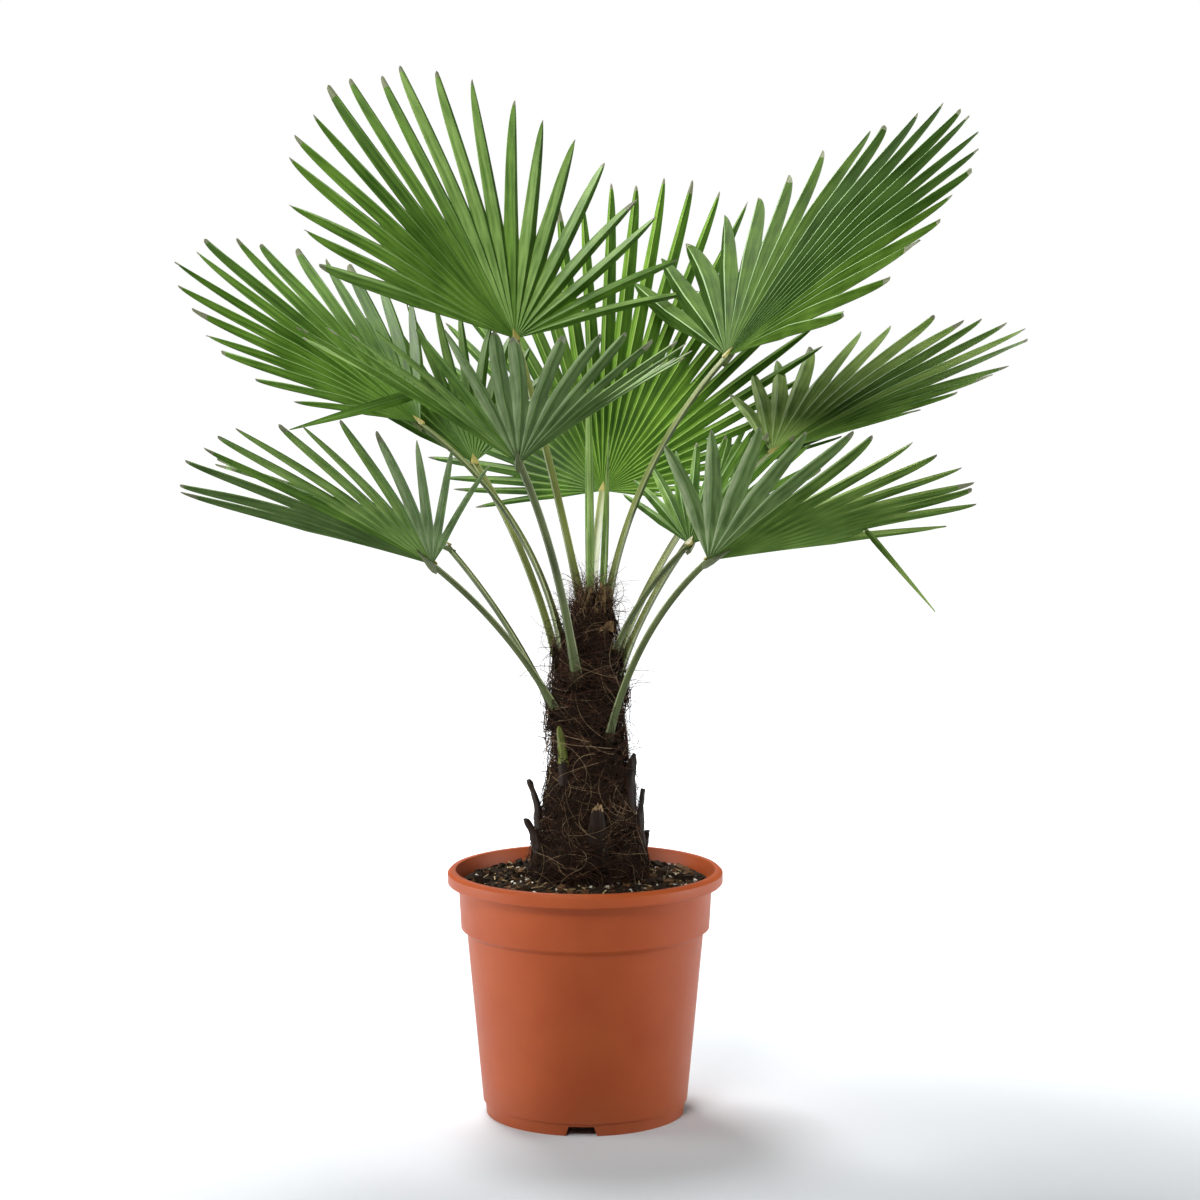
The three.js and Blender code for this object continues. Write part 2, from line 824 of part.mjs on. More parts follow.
place("pot", makePot(), potPlastic);
place("soil", makeSoil(), compost);
place("trunk", makeTrunk(0), trunkFibre);
const trunkSpace = toSolid(makeTrunk(gap));
for (const stub of stubs) {
  place(stub.name, toGeometry(largest(toSolid(makeStub(stub)).subtract(trunkSpace))), stubBark);
}
for (const spear of spears) {
  place(spear.name, makeSpear(spear), youngGreen);
}
for (const frond of fronds) {
  const solid = largest(toSolid(makeStalk(frond)).subtract(trunkSpace));
  place("stalk_" + frond.name, toGeometry(solid), stalkGreen);
}
for (const frond of fronds) {
  const solid = largest(makeBlade(frond, clearReaches(frond)));
  place("blade_" + frond.name, toGeometry(solid), frond.name === youngest ? youngGreen : bladeGreen);
  if (frond.bent) {
    place("bent_leaflet_" + frond.name, makeBent(frond), bladeGreen);
  }
}

export default palm;
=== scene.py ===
import math
import random

import bpy
import numpy as np
from mathutils import Matrix, Vector, noise


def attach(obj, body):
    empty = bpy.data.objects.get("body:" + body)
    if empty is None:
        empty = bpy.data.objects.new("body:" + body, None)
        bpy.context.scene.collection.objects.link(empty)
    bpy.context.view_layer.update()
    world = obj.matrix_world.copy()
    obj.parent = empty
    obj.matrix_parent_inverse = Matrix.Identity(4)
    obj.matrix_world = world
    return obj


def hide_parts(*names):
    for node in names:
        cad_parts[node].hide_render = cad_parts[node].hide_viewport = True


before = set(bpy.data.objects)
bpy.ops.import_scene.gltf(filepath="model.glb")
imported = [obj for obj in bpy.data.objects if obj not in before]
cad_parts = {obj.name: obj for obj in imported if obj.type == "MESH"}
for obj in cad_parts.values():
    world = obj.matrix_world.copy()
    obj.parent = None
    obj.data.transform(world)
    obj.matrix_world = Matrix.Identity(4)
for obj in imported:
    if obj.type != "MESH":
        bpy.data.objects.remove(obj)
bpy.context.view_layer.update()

# A young fan palm in a nursery pot. Sizes are in millimetres here and in metres in the scene.
# X is to the viewer's right, Y away from the viewer, Z up, and the pot's axis is the origin.
mm = 0.001
up = Vector((0, 0, 1))
gap = 0.4  # between the compost and the wall of the pot


# Small helpers

def hexColour(code):
    channels = [int(code[i:i + 2], 16) / 255 for i in (1, 3, 5)]
    linear = [c / 12.92 if c <= 0.04045 else ((c + 0.055) / 1.055) ** 2.4 for c in channels]
    return (*linear, 1.0)


def addNode(tree, kind, settings=None, links=None):
    node = tree.nodes.new(kind)
    for name, value in (settings or {}).items():
        setattr(node, name, value)
    for name, value in (links or {}).items():
        if isinstance(value, bpy.types.NodeSocket):
            tree.links.new(value, node.inputs[name])
        else:
            node.inputs[name].default_value = value
    return node


def setRamp(node, stops):
    ramp = node.color_ramp
    while len(ramp.elements) < len(stops):
        ramp.elements.new(0.5)
    for element, (place, code) in zip(ramp.elements, stops):
        element.position = place
        element.color = hexColour(code)
    return node.outputs["Color"]


def newMaterial(name):
    material = bpy.data.materials.new(name)
    material.use_nodes = True
    tree = material.node_tree
    return material, tree, tree.nodes["Principled BSDF"]


def chance(index, seed):
    wave = math.sin(index * 12.9898 + seed * 78.233) * 43758.5453
    return wave - math.floor(wave)


def mix(a, b, t):
    return a + (b - a) * t


def bearing(degrees):
    angle = math.radians(degrees)
    return Vector((math.cos(angle), math.sin(angle), 0))


def onlySelect(piece):
    if bpy.context.object and bpy.context.object.mode != "OBJECT":
        bpy.ops.object.mode_set(mode="OBJECT")
    bpy.ops.object.select_all(action="DESELECT")
    if piece:
        piece.select_set(True)
        bpy.context.view_layer.objects.active = piece


def applyModifier(piece, kind, **settings):
    onlySelect(piece)
    modifier = piece.modifiers.new(kind.lower(), kind)
    for name, value in settings.items():
        setattr(modifier, name, value)
    bpy.ops.object.modifier_apply(modifier=modifier.name)


# Runs one of Blender's mesh operators on the whole of a piece
def editAll(piece, operator, **settings):
    onlySelect(piece)
    bpy.ops.object.mode_set(mode="EDIT")
    bpy.ops.mesh.select_all(action="SELECT")
    operator(**settings)
    bpy.ops.object.mode_set(mode="OBJECT")


# A shape made of points in mm, and faces with the place of each one's material in the list.
# Its grain, in metres across and along each point, is what a grained material reads.
def newShape():
    return {"points": [], "faces": [], "slots": [], "grain": []}


def addFace(shape, corners, slot):
    shape["faces"].append(corners)
    shape["slots"].append(slot)


# Quads between rings of points that follow one another; slotAt gives the slot by place round a ring
def joinRings(shape, first, rings, around, slotAt):
    for k in range(rings - 1):
        for j in range(around):
            a = first + k * around + j
            b = first + k * around + (j + 1) % around
            addFace(shape, [a, b, b + around, a + around], slotAt(j))


def setGrain(mesh, grain):
    layer = mesh.uv_layers.active or mesh.uv_layers.new(name="grain")
    layer.name = "grain"
    corner = np.empty(len(mesh.loops), dtype=np.int32)
    mesh.loops.foreach_get("vertex_index", corner)
    layer.data.foreach_set("uv", np.array(grain, dtype=np.float32)[corner].ravel())


def meshPiece(name, shape, materials):
    mesh = bpy.data.meshes.new(name)
    mesh.from_pydata([tuple(p * mm) for p in shape["points"]], [], shape["faces"])
    for material in materials:
        mesh.materials.append(material)
    mesh.polygons.foreach_set("material_index", shape["slots"])
    if shape["grain"]:
        setGrain(mesh, shape["grain"])
    piece = bpy.data.objects.new(name, mesh)
    bpy.context.collection.objects.link(piece)
    return piece


def finishPiece(piece, nodes=(), smoothAngle=35):
    onlySelect(piece)
    bpy.ops.object.shade_smooth_by_angle(angle=math.radians(smoothAngle))
    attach(piece, "root")
    if nodes:
        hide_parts(*nodes)


# Rings are extruded one after another from a circle, as a potter would turn the shape
def turnedShell(name, profile, sides):
    onlySelect(None)
    radius, height = profile[0]
    bpy.ops.mesh.primitive_circle_add(
        vertices=sides, radius=radius * mm, fill_type="NGON", location=(0, 0, height * mm))
    piece = bpy.context.object
    piece.name = name
    piece.data.name = name
    bpy.ops.object.transform_apply(location=True, rotation=False, scale=False)
    bpy.ops.object.mode_set(mode="EDIT")
    bpy.ops.mesh.select_all(action="SELECT")
    bpy.ops.mesh.select_mode(type="FACE")
    for (r0, z0), (r1, z1) in zip(profile, profile[1:]):
        bpy.ops.mesh.extrude_region_move(TRANSFORM_OT_translate={"value": (0, 0, (z1 - z0) * mm)})
        bpy.ops.transform.resize(value=(r1 / r0, r1 / r0, 1), center_override=(0, 0, z1 * mm))
    editAll(piece, bpy.ops.mesh.normals_make_consistent, inside=False)
    return piece


# Materials

# Colour, roughness and bump of a surface
def dressShader(tree, shader, tint, rough, height, strength, depth):
    tree.links.new(tint, shader.inputs["Base Color"])
    if rough:
        tree.links.new(rough, shader.inputs["Roughness"])
    bump = addNode(tree, "ShaderNodeBump", None, {
        "Strength": strength, "Distance": depth * mm, "Height": height})
    tree.links.new(bump.outputs["Normal"], shader.inputs["Normal"])


# Injection-moulded polypropylene with a terracotta pigment: satin and slightly mottled, with a
# fine mould texture, and a little dust near the foot. Sizes are in mm.
plasticLook = {
    "body": "#9e441a",
    "pale": "#a64d20",
    "dust": "#935739",
    "dustHeight": 50,
    "dustMost": 0.5,
    "roughness": 0.46,
    "mottle": 60,
    "smear": 22.22,
    "grain": 0.9,  # drawn coarser than the real 0.3 mm so that it shows
    "grainDepth": 0.4,
    "grainStrength": 0.12,
    "ior": 1.49,
    "gloss": 0.3,
}


def mouldedPolypropylene():
    look = plasticLook
    material, tree, shader = newMaterial("mouldedPolypropylene")
    where = addNode(tree, "ShaderNodeTexCoord").outputs["Object"]
    mottle = addNode(tree, "ShaderNodeTexNoise", None, {
        "Vector": where, "Scale": 1 / (look["mottle"] * mm), "Detail": 4.0})
    tint = setRamp(addNode(tree, "ShaderNodeValToRGB", None, {"Fac": mottle.outputs["Fac"]}), [
        (0.3, look["body"]), (0.72, look["pale"])])
    height = addNode(tree, "ShaderNodeSeparateXYZ", None, {"Vector": where}).outputs["Z"]
    low = addNode(tree, "ShaderNodeMapRange", None, {
        "Value": height, "From Min": 0.0, "From Max": look["dustHeight"] * mm,
        "To Min": look["dustMost"], "To Max": 0.0})
    smear = addNode(tree, "ShaderNodeTexNoise", None, {
        "Vector": where, "Scale": 1 / (look["smear"] * mm), "Detail": 6.0})
    dust = addNode(tree, "ShaderNodeMath", {"operation": "MULTIPLY"}, {
        0: low.outputs["Result"], 1: smear.outputs["Fac"]})
    shade = addNode(tree, "ShaderNodeMix", {"data_type": "RGBA"}, {
        0: dust.outputs["Value"], 6: tint, 7: hexColour(look["dust"])})
    rough = addNode(tree, "ShaderNodeMapRange", None, {
        "Value": smear.outputs["Fac"],
        "To Min": look["roughness"] - 0.06, "To Max": look["roughness"] + 0.08})
    grain = addNode(tree, "ShaderNodeTexNoise", None, {
        "Vector": where, "Scale": 1 / (look["grain"] * mm), "Detail": 2.0})
    dressShader(tree, shader, shade.outputs[2], rough.outputs["Result"], grain.outputs["Fac"],
                look["grainStrength"], look["grainDepth"])
    shader.inputs["IOR"].default_value = look["ior"]
    shader.inputs["Specular IOR Level"].default_value = look["gloss"]
    return material


# Organic matter with no gloss of its own: crumbs, fibres and bark, mottled between two colours.
# grain and depth are in mm, and relief is the strength of the bump.
def roughOrganic(name, dark, light, grain, roughness, relief, depth=1.0):
    material, tree, shader = newMaterial(name)
    where = addNode(tree, "ShaderNodeTexCoord").outputs["Object"]
    patches = addNode(tree, "ShaderNodeTexNoise", None, {
        "Vector": where, "Scale": 1 / (grain * mm), "Detail": 8.0, "Roughness": 0.65})
    tint = setRamp(addNode(tree, "ShaderNodeValToRGB", None, {"Fac": patches.outputs["Fac"]}), [
        (0.32, dark), (0.7, light)])
    dressShader(tree, shader, tint, None, patches.outputs["Fac"], relief, depth)
    shader.inputs["Roughness"].default_value = roughness
    shader.inputs["Specular IOR Level"].default_value = 0.15
    return material


# Fibrous matter with a grain that follows the piece: lines run along it, and patches lie over them
grainLook = {"patch": 45.45, "patchShare": 0.45, "depth": 0.5}  # mm


def grained(name, dark, light, line, roughness, relief, gloss=0.5, lineLength=60, detail=3.0):
    material, tree, shader = newMaterial(name)
    coord = addNode(tree, "ShaderNodeTexCoord")
    stretched = addNode(tree, "ShaderNodeMapping", None, {
        "Vector": coord.outputs["UV"], "Scale": (1 / (line * mm), 1 / (lineLength * mm), 1.0)})
    lines = addNode(tree, "ShaderNodeTexNoise", None, {
        "Vector": stretched.outputs["Vector"], "Scale": 1.0, "Detail": detail})
    patches = addNode(tree, "ShaderNodeTexNoise", None, {
        "Vector": coord.outputs["Object"], "Scale": 1 / (grainLook["patch"] * mm), "Detail": 3.0})
    both = addNode(tree, "ShaderNodeMix", {"data_type": "FLOAT"}, {
        0: grainLook["patchShare"], 2: lines.outputs["Fac"], 3: patches.outputs["Fac"]})
    tint = setRamp(addNode(tree, "ShaderNodeValToRGB", None, {"Fac": both.outputs[0]}), [
        (0.36, dark), (0.64, light)])
    rough = addNode(tree, "ShaderNodeMapRange", None, {
        "Value": patches.outputs["Fac"], "To Min": roughness - 0.08, "To Max": roughness + 0.1})
    dressShader(tree, shader, tint, rough.outputs["Result"], lines.outputs["Fac"],
                relief, grainLook["depth"])
    shader.inputs["Specular IOR Level"].default_value = gloss
    return material


# Each call gives the darker and the lighter colour, the grain or line in mm, the roughness and
# the relief, and where they matter the depth or the gloss and the length of a line.

potPlastic = mouldedPolypropylene()

# Peat compost, damp: near black, crumbly, no gloss
peatCompost = roughOrganic("peatCompost", "#100c08", "#352719", 5, 0.95, 0.9, 2.0)
pineBark = roughOrganic("pineBarkChips", "#3b2716", "#6d4d31", 3, 0.85, 0.5)
straw = roughOrganic("strawBits", "#8d7650", "#c4ae83", 4, 0.75, 0.2)
perlite = roughOrganic("perliteCrumbs", "#b9b2a4", "#e0dacd", 2, 0.9, 0.4)

# Matted sheath fibre, like coir: dark brown with no gloss, single strands paler
matFibre = roughOrganic("mattedSheathFibre", "#0c0805", "#27190f", 4, 0.95, 1.0, 2.0)
darkStrand = roughOrganic("darkSheathStrands", "#150e08", "#2e1f13", 9, 0.85, 0.1)
brownStrand = roughOrganic("brownSheathStrands", "#2c1b13", "#513626", 9, 0.85, 0.1)
paleStrand = roughOrganic("paleSheathStrands", "#5f4c38", "#8f7a5e", 9, 0.8, 0.1)

# Old leaf bases: dried horny petiole, brown-black with a dull polish
oldBase = grained("driedLeafBase", "#0d0805", "#2b1d14", 1.6, 0.6, 0.8, 0.14, 22)
oldSheath = grained("driedSheathCloth", "#0e0906", "#2b1c11", 1.0, 0.9, 0.8, 0.1, 18)
freshBase = grained("greenLeafBase", "#3c4413", "#7b8236", 1.6, 0.55, 0.3, 0.3, 40)
tornSheath = grained("tornPaleSheath", "#5a4228", "#a88d64", 1.2, 0.8, 0.5, 0.2, 30)

# Living stalk: smooth waxy skin; the keel beneath is painted darker as painted shade, and the upper
# edges are painted pale as painted highlight
stalkTop = grained("stalkUpperSkin", "#525b29", "#7b8347", 1.4, 0.45, 0.1, 0.3)
stalkPaintedShadeKeel = grained("stalkKeelPaintedShade", "#384320", "#586338", 1.4, 0.45, 0.1, 0.3)
stalkPaintedHighlightEdge = grained("stalkEdgePaintedHighlight", "#6f7a50", "#99a177", 1.4, 0.55, 0.1, 0.3)
stalkFoot = grained("stalkDriedFoot", "#1d150c", "#4a3f22", 1.4, 0.7, 0.3, 0.15, 20)

# Palm leaf: leathery with a waxy cuticle above and a grey-green bloom beneath, veined along
# each leaflet. The real veins are 0.8 mm apart and are drawn 2.6 mm apart so that they show.
leafLook = {
    "veins": 2.6,
    "relief": 0.1,
    "gloss": {"grown": 0.14, "young": 0.1, "oldAndPaintedLit": 0.09, "paintedShade": 0.02},
    "roughAbove": 0.5,
    "roughBeneath": 0.6,
}
leafColours = {  # three tones above; the darker and the paler half beneath. halfShades gives the paler tones to the half that faces the light, as painted light, and the darker ones to the other half, as painted shade
    "grown": [("#355413", "#5c7f2c"), ("#496927", "#7b984e"), ("#28460a", "#4a6b20"),
              ("#30481a", "#526b36"), ("#566e3f", "#8b9f71")],
    "young": [("#2f500c", "#587c22"), ("#3b5c12", "#688c30"), ("#254409", "#476b18"),
              ("#3b5f1c", "#5f8334"), ("#4f742c", "#789a4b")],
    # a paler copy of the grown tones, for older fronds, and lifted further as painted light where the
    # lamps reach them little
    "oldAndPaintedLit": [("#57722f", "#889f56"), ("#6f8649", "#a2b379"), ("#355015", "#5e7b36"),
            ("#42582a", "#66804a"), ("#687e4f", "#96a67c")],
    # a darker copy of the grown tones: painted shade, for a frond that the lamps light strongly
    "paintedShade": [("#2c440c", "#4c6724"), ("#4b6b2f", "#79975d"), ("#1d3306", "#38521e"),
             ("#30481a", "#526b36"), ("#4a6233", "#788c5d")],
}


def leafSkins(kind):
    look = leafLook
    skins = []
    for i, (dark, light) in enumerate(leafColours[kind]):
        rough = look["roughAbove"] if i < 3 else look["roughBeneath"]
        skins.append(grained(kind + "LeafSkin" + "ABCDE"[i], dark, light, look["veins"], rough,
                             look["relief"], look["gloss"][kind], detail=1.0))
    return skins


leafSkin = {kind: leafSkins(kind) for kind in leafColours}
leafRib = grained("leafRib", "#527531", "#74944f", 1.0, 0.55, 0.1, 0.25)
youngRib = grained("youngLeafRib", "#6c8c33", "#92ac52", 1.0, 0.55, 0.1, 0.25)
dryTip = grained("driedLeafTip", "#565a40", "#82876c", 1.6, 0.75, 0.2, 0.2)
hubSkin = grained("hubFlap", "#7d7430", "#a39a55", 1.2, 0.5, 0.1)
spearSkin = grained("foldedYoungLeaf", "#4f6b27", "#8aa457", 1.4, 0.5, 0.2)
print("materials made")


# Pot

potShape = {
    "height": 250,
    "rimRadius": 140, "rimDepth": 14, "rimWidth": 8, "lip": 3,
    "wall": 3,
    "collarTop": 129, "collarFoot": 126.5,  # radii, as are those of the body
    "ledge": 186, "ledgeDepth": 5,
    "bodyTop": 120.5, "bodyFoot": 104.5,
    "footRadius": 101.5, "footHeight": 12, "footWidth": 9,
    "floorRise": 10, "padRadius": 34, "padSlope": 6,
    "sides": 144,
    "edge": 1.1, "sharpest": 22,  # rounding of the moulded edges, and from what angle in degrees
}
notchShape = {
    "count": 4, "turn": -92, "widthFoot": 34, "widthTop": 25, "height": 9.6, "below": 4, "depth": 16,
    "inset": 6,
}


def potProfile(p):
    inner = p["rimRadius"] - p["rimWidth"]
    return [
        (p["padRadius"], 0),
        (p["padRadius"] + p["padSlope"], p["floorRise"]),
        (p["footRadius"] - p["footWidth"] - 3, p["floorRise"]),
        (p["footRadius"] - p["footWidth"], 0),
        (p["footRadius"], 0),
        (p["footRadius"] + 1, p["footHeight"]),
        (p["bodyFoot"], p["footHeight"] + 1),
        (p["bodyTop"], p["ledge"]),
        (p["collarFoot"], p["ledge"] + p["ledgeDepth"]),
        (p["collarTop"], p["height"] - p["rimDepth"]),
        (p["rimRadius"] - 1.5, p["height"] - p["rimDepth"]),
        (p["rimRadius"], p["height"] - p["rimDepth"] + 1.5),
        (p["rimRadius"], p["height"] - p["lip"]),
        (p["rimRadius"] - p["lip"], p["height"]),
        (inner, p["height"]),
        (p["collarTop"] - p["wall"], p["height"] - p["rimDepth"] - 4),
        (p["collarFoot"] - p["wall"], p["ledge"] + p["ledgeDepth"]),
        (p["bodyTop"] - p["wall"], p["ledge"] - p["wall"]),
        (p["bodyFoot"] - p["wall"], p["floorRise"] + p["wall"]),
        (p["padRadius"] + 4, p["floorRise"] + p["wall"]),
        (p["padRadius"] - 2, p["wall"] + 1),
    ]


def cutNotch(pot, turn):
    onlySelect(None)
    n = notchShape
    inner = potShape["footRadius"] - potShape["footWidth"] - n["inset"]
    middle = (n["height"] - n["below"]) / 2 * mm
    bpy.ops.mesh.primitive_cube_add(size=1, location=((inner + n["depth"] / 2) * mm, 0, middle))
    cutter = bpy.context.object
    cutter.scale = (n["depth"] * mm, n["widthFoot"] * mm, (n["height"] + n["below"]) * mm)
    bpy.ops.object.transform_apply(location=True, rotation=False, scale=True)
    for vertex in cutter.data.vertices:  # the notch narrows upwards
        if vertex.co.z > middle:
            vertex.co.y *= n["widthTop"] / n["widthFoot"]
    cutter.data.transform(Matrix.Rotation(math.radians(turn), 4, "Z"))
    applyModifier(pot, "BOOLEAN", operation="DIFFERENCE", object=cutter, solver="EXACT")
    bpy.data.objects.remove(cutter)


pot = turnedShell("potBody", potProfile(potShape), potShape["sides"])
for i in range(notchShape["count"]):
    cutNotch(pot, notchShape["turn"] + i * 360 / notchShape["count"])
applyModifier(pot, "BEVEL", width=potShape["edge"] * mm, segments=3, limit_method="ANGLE",
              angle_limit=math.radians(potShape["sharpest"]), harden_normals=False)
pot.data.materials.append(potPlastic)
finishPiece(pot, ["pot"], 32)
print("pot made")


# Compost

compostShape = {
    "radius": potShape["collarTop"] - potShape["wall"] - 2 * gap,
    "edge": 237, "crown": 242, "seatRadius": 66,  # heights at the wall and at the trunk
    "moundWidth": 26, "moundRise": 3,
    "sides": 190, "ringStep": 2.6, "innermost": 6,
    "lump": 3.4, "lumpSize": 16,  # how far lumps stand up or sink, and how wide they are
    "crumb": 1.6, "crumbSize": 5,
    "calmEdge": 8, "calmest": 0.35,  # near the wall the relief fades to this share
}


def compostHeight(radius):
    c = compostShape
    outer = c["seatRadius"] + c["moundWidth"]
    mound = c["edge"] + c["moundRise"]
    if radius > outer:
        return mix(mound, c["edge"], (radius - outer) / (c["radius"] - outer))
    if radius > c["seatRadius"]:
        return mix(c["crown"], mound, (radius - c["seatRadius"]) / c["moundWidth"])
    return c["crown"]


def compostRelief(x, y, radius):
    c = compostShape
    fade = min(1, max(0, (c["radius"] - radius) / c["calmEdge"]) + c["calmest"])
    lumps = noise.noise(Vector((x, y, 0)) / c["lumpSize"]) * c["lump"]
    crumbs = noise.noise(Vector((x, y, 40)) / c["crumbSize"]) * c["crumb"]
    return (lumps + crumbs) * fade


def makeCompost():
    p, c = potShape, compostShape
    inner = p["wall"] + gap
    bottom = p["floorRise"] + inner
    profile = [
        (p["padRadius"] - 3, p["wall"] + 1 + gap),
        (p["padRadius"] + 3.2, bottom),
        (p["bodyFoot"] - inner, bottom),
        (p["bodyTop"] - inner, p["ledge"] - p["wall"]),
        (p["collarFoot"] - inner, p["ledge"] + p["ledgeDepth"] + gap),
        (c["radius"], c["edge"] - 4),
    ]
    radius = c["radius"]
    while radius > c["innermost"]:
        profile.append((radius, compostHeight(radius)))
        radius -= c["ringStep"]
    piece = turnedShell("compostBody", profile, c["sides"])
    for vertex in piece.data.vertices:
        x, y, z = vertex.co / mm
        if z >= c["edge"] - 0.5:
            vertex.co.z += compostRelief(x, y, math.hypot(x, y)) * mm
    piece.data.materials.append(peatCompost)
    finishPiece(piece, ["soil"], 50)


makeCompost()

litter = {  # lift and width are shares of the size, or mm where inMm says so
    "barkChips": {"count": 760, "size": (2.5, 11), "favour": 2, "inner": 46, "margin": 8,
                  "lift": 0.1, "width": (0.4, 0.8), "flatness": 0.4, "slots": (0, 0, 1)},
    "straws": {"count": 200, "size": (4, 18), "favour": 2, "inner": 46, "margin": 14, "inMm": True,
               "lift": 0.6, "width": (0.7, 1.6), "flatness": 0.08, "slots": (2,)},
    "perlite": {"count": 120, "size": (1.2, 3.6), "favour": 1, "inner": 46, "margin": 8,
                "lift": 0.2, "width": (1,), "flatness": 0.9, "slots": (3,)},
    "lumps": {"count": 26, "size": (6, 12), "favour": 1, "inner": 72, "margin": 16,
              "lift": 0.12, "width": (0.8,), "flatness": 0.7, "slots": (0,)},
}
crumbShape = {
    "lean": 0.5, "least": 0.62, "most": 1.1,  # how it tilts, and how far its corners are pushed
    "edge": 0.35,
    "seed": 21,
}


# An irregular crumb: a box with its corners pushed about
def addCrumb(shape, centre, long, wide, flatness, slot, rng):
    first = len(shape["points"])
    lean = crumbShape["lean"]
    turn = Matrix.Rotation(rng.uniform(0, math.tau), 3, "Z")
    tilt = Matrix.Rotation(rng.uniform(-lean, lean), 3, "X")
    tilt = tilt @ Matrix.Rotation(rng.uniform(-lean, lean), 3, "Y")
    for x in (-1, 1):
        for y in (-1, 1):
            for z in (-1, 1):
                corner = Vector((x * long, y * wide, z * long * flatness)) / 2
                corner *= rng.uniform(crumbShape["least"], crumbShape["most"])
                shape["points"].append(centre + tilt @ (turn @ corner))
    corners = [(0, 1, 3, 2), (4, 6, 7, 5), (0, 4, 5, 1), (2, 3, 7, 6), (0, 2, 6, 4), (1, 5, 7, 3)]
    for face in corners:
        addFace(shape, [first + i for i in face], slot)


def onCompost(rng, inner, outer):
    radius = math.sqrt(rng.uniform(inner ** 2, outer ** 2))
    place = bearing(rng.uniform(0, 360)) * radius
    place.z = compostHeight(radius) + compostRelief(place.x, place.y, radius)
    return place


def makeLitter():
    rng = random.Random(crumbShape["seed"])
    shape = newShape()
    wall = potShape["collarTop"] - potShape["wall"]
    for kind in litter.values():
        widths, slots = kind["width"], kind["slots"]
        for _ in range(kind["count"]):
            size = mix(*kind["size"], rng.random() ** kind["favour"])  # 2 favours the small ones
            unit = 1 if "inMm" in kind else size
            place = onCompost(rng, kind["inner"], wall - kind["margin"]) + up * (kind["lift"] * unit)
            wide = unit * (rng.uniform(*widths) if len(widths) > 1 else widths[0])
            slot = rng.choice(slots) if len(slots) > 1 else slots[0]
            addCrumb(shape, place, size, wide, kind["flatness"], slot, rng)
    piece = meshPiece("compostLitter", shape, [peatCompost, pineBark, straw, perlite])
    applyModifier(piece, "BEVEL", width=crumbShape["edge"] * mm, segments=1, limit_method="NONE")
    finishPiece(piece)


makeLitter()
print("compost made")


# Trunk

trunkShape = {
    "foot": 242.4,
    "stations": [  # height, shift to the right, radius
        (242.4, 2, 60), (275, 3, 54), (320, 4, 45), (361, 5, 38.5),
        (422, 3, 34.5), (484, 2, 30.5), (514, 6, 23), (532, 10, 16)],
    "sides": 96, "ringStep": 3,
    "relief": 2.6, "reliefSize": 11,
    "weave": 1.4,
    "layer": 1.6, "layerRise": 17,  # the small step at the end of each old sheath
    "sink": 4.5,  # the mat lies this far under the fibres
    "slim": 6, "slimFrom": 430,  # mat and fibres get narrower at the top, so that stalks stand out
}
goldenTurn = 137.5  # degrees from one sheath to the next


def trunkAt(z):
    stations = trunkShape["stations"]
    for (z0, x0, r0), (z1, x1, r1) in zip(stations, stations[1:]):
        if z <= z1 or z1 == stations[-1][0]:
            t = min(1, max(0, (z - z0) / (z1 - z0)))
            return mix(x0, x1, t), mix(r0, r1, t)


def onTrunk(turn, z, off):
    x, radius = trunkAt(z)
    return Vector((x, 0, z)) + bearing(turn) * (radius + off)


def slimming(z):
    start = trunkShape["slimFrom"]
    share = (z - start) / (trunkShape["stations"][-1][0] - start)
    return trunkShape["slim"] * min(1, max(0, share * 1.6))


def makeTrunk():
    look = trunkShape
    top = look["stations"][-1][0]
    steps = round((top - look["foot"]) / look["ringStep"])
    heights = [mix(look["foot"], top, i / steps) for i in range(steps + 1)]
    profile = [(trunkAt(z)[1], z) for z in heights] + [(9, top + 0.2), (3, top + 0.2)]
    piece = turnedShell("trunkMat", profile, look["sides"])
    for vertex in piece.data.vertices:  # lean, sheath layers and matted relief
        x, y, z = vertex.co / mm
        turn = math.degrees(math.atan2(y, x))
        way = bearing(turn)
        radius = math.hypot(x, y)
        if z > top or radius < 10:
            vertex.co.x += trunkAt(z)[0] * mm
            continue
        coarse = noise.noise(Vector((way.x * 3, way.y * 3, z / (look["reliefSize"] * 1.6))))
        slant = noise.noise(Vector((turn / 9 + z / 14, z / 30 - turn / 22, 7)))
        layer = (z / look["layerRise"] + turn / goldenTurn) % 1 - 0.5
        off = coarse * look["relief"] + slant * look["weave"] + layer * look["layer"]
        moved = Vector((trunkAt(z)[0], 0, z)) + way * (radius - look["sink"] - slimming(z) + off)
        vertex.co = moved * mm
    piece.data.materials.append(matFibre)
    finishPiece(piece, ["trunk"], 60)


makeTrunk()


# A strand is a three-sided thread that thins to its end
def addStrand(shape, path, radius, slot):
    first = len(shape["points"])
    for i, here in enumerate(path):
        along = (path[min(i + 1, len(path) - 1)] - path[max(i - 1, 0)]).normalized()
        side = along.cross(Vector((0.3, 0.2, 0.93)))
        side = side.normalized() if side.length > 0.01 else Vector((1, 0, 0))
        other = along.cross(side)
        thick = radius * (1 - 0.75 * i / (len(path) - 1))
        for k in range(3):
            angle = k * math.tau / 3
            shape["points"].append(here + (side * math.cos(angle) + other * math.sin(angle)) * thick)
    joinRings(shape, first, len(path), 3, lambda j: slot)
    last = len(shape["points"]) - 3
    addFace(shape, [first + 2, first + 1, first], slot)
    addFace(shape, [last, last + 1, last + 2], slot)


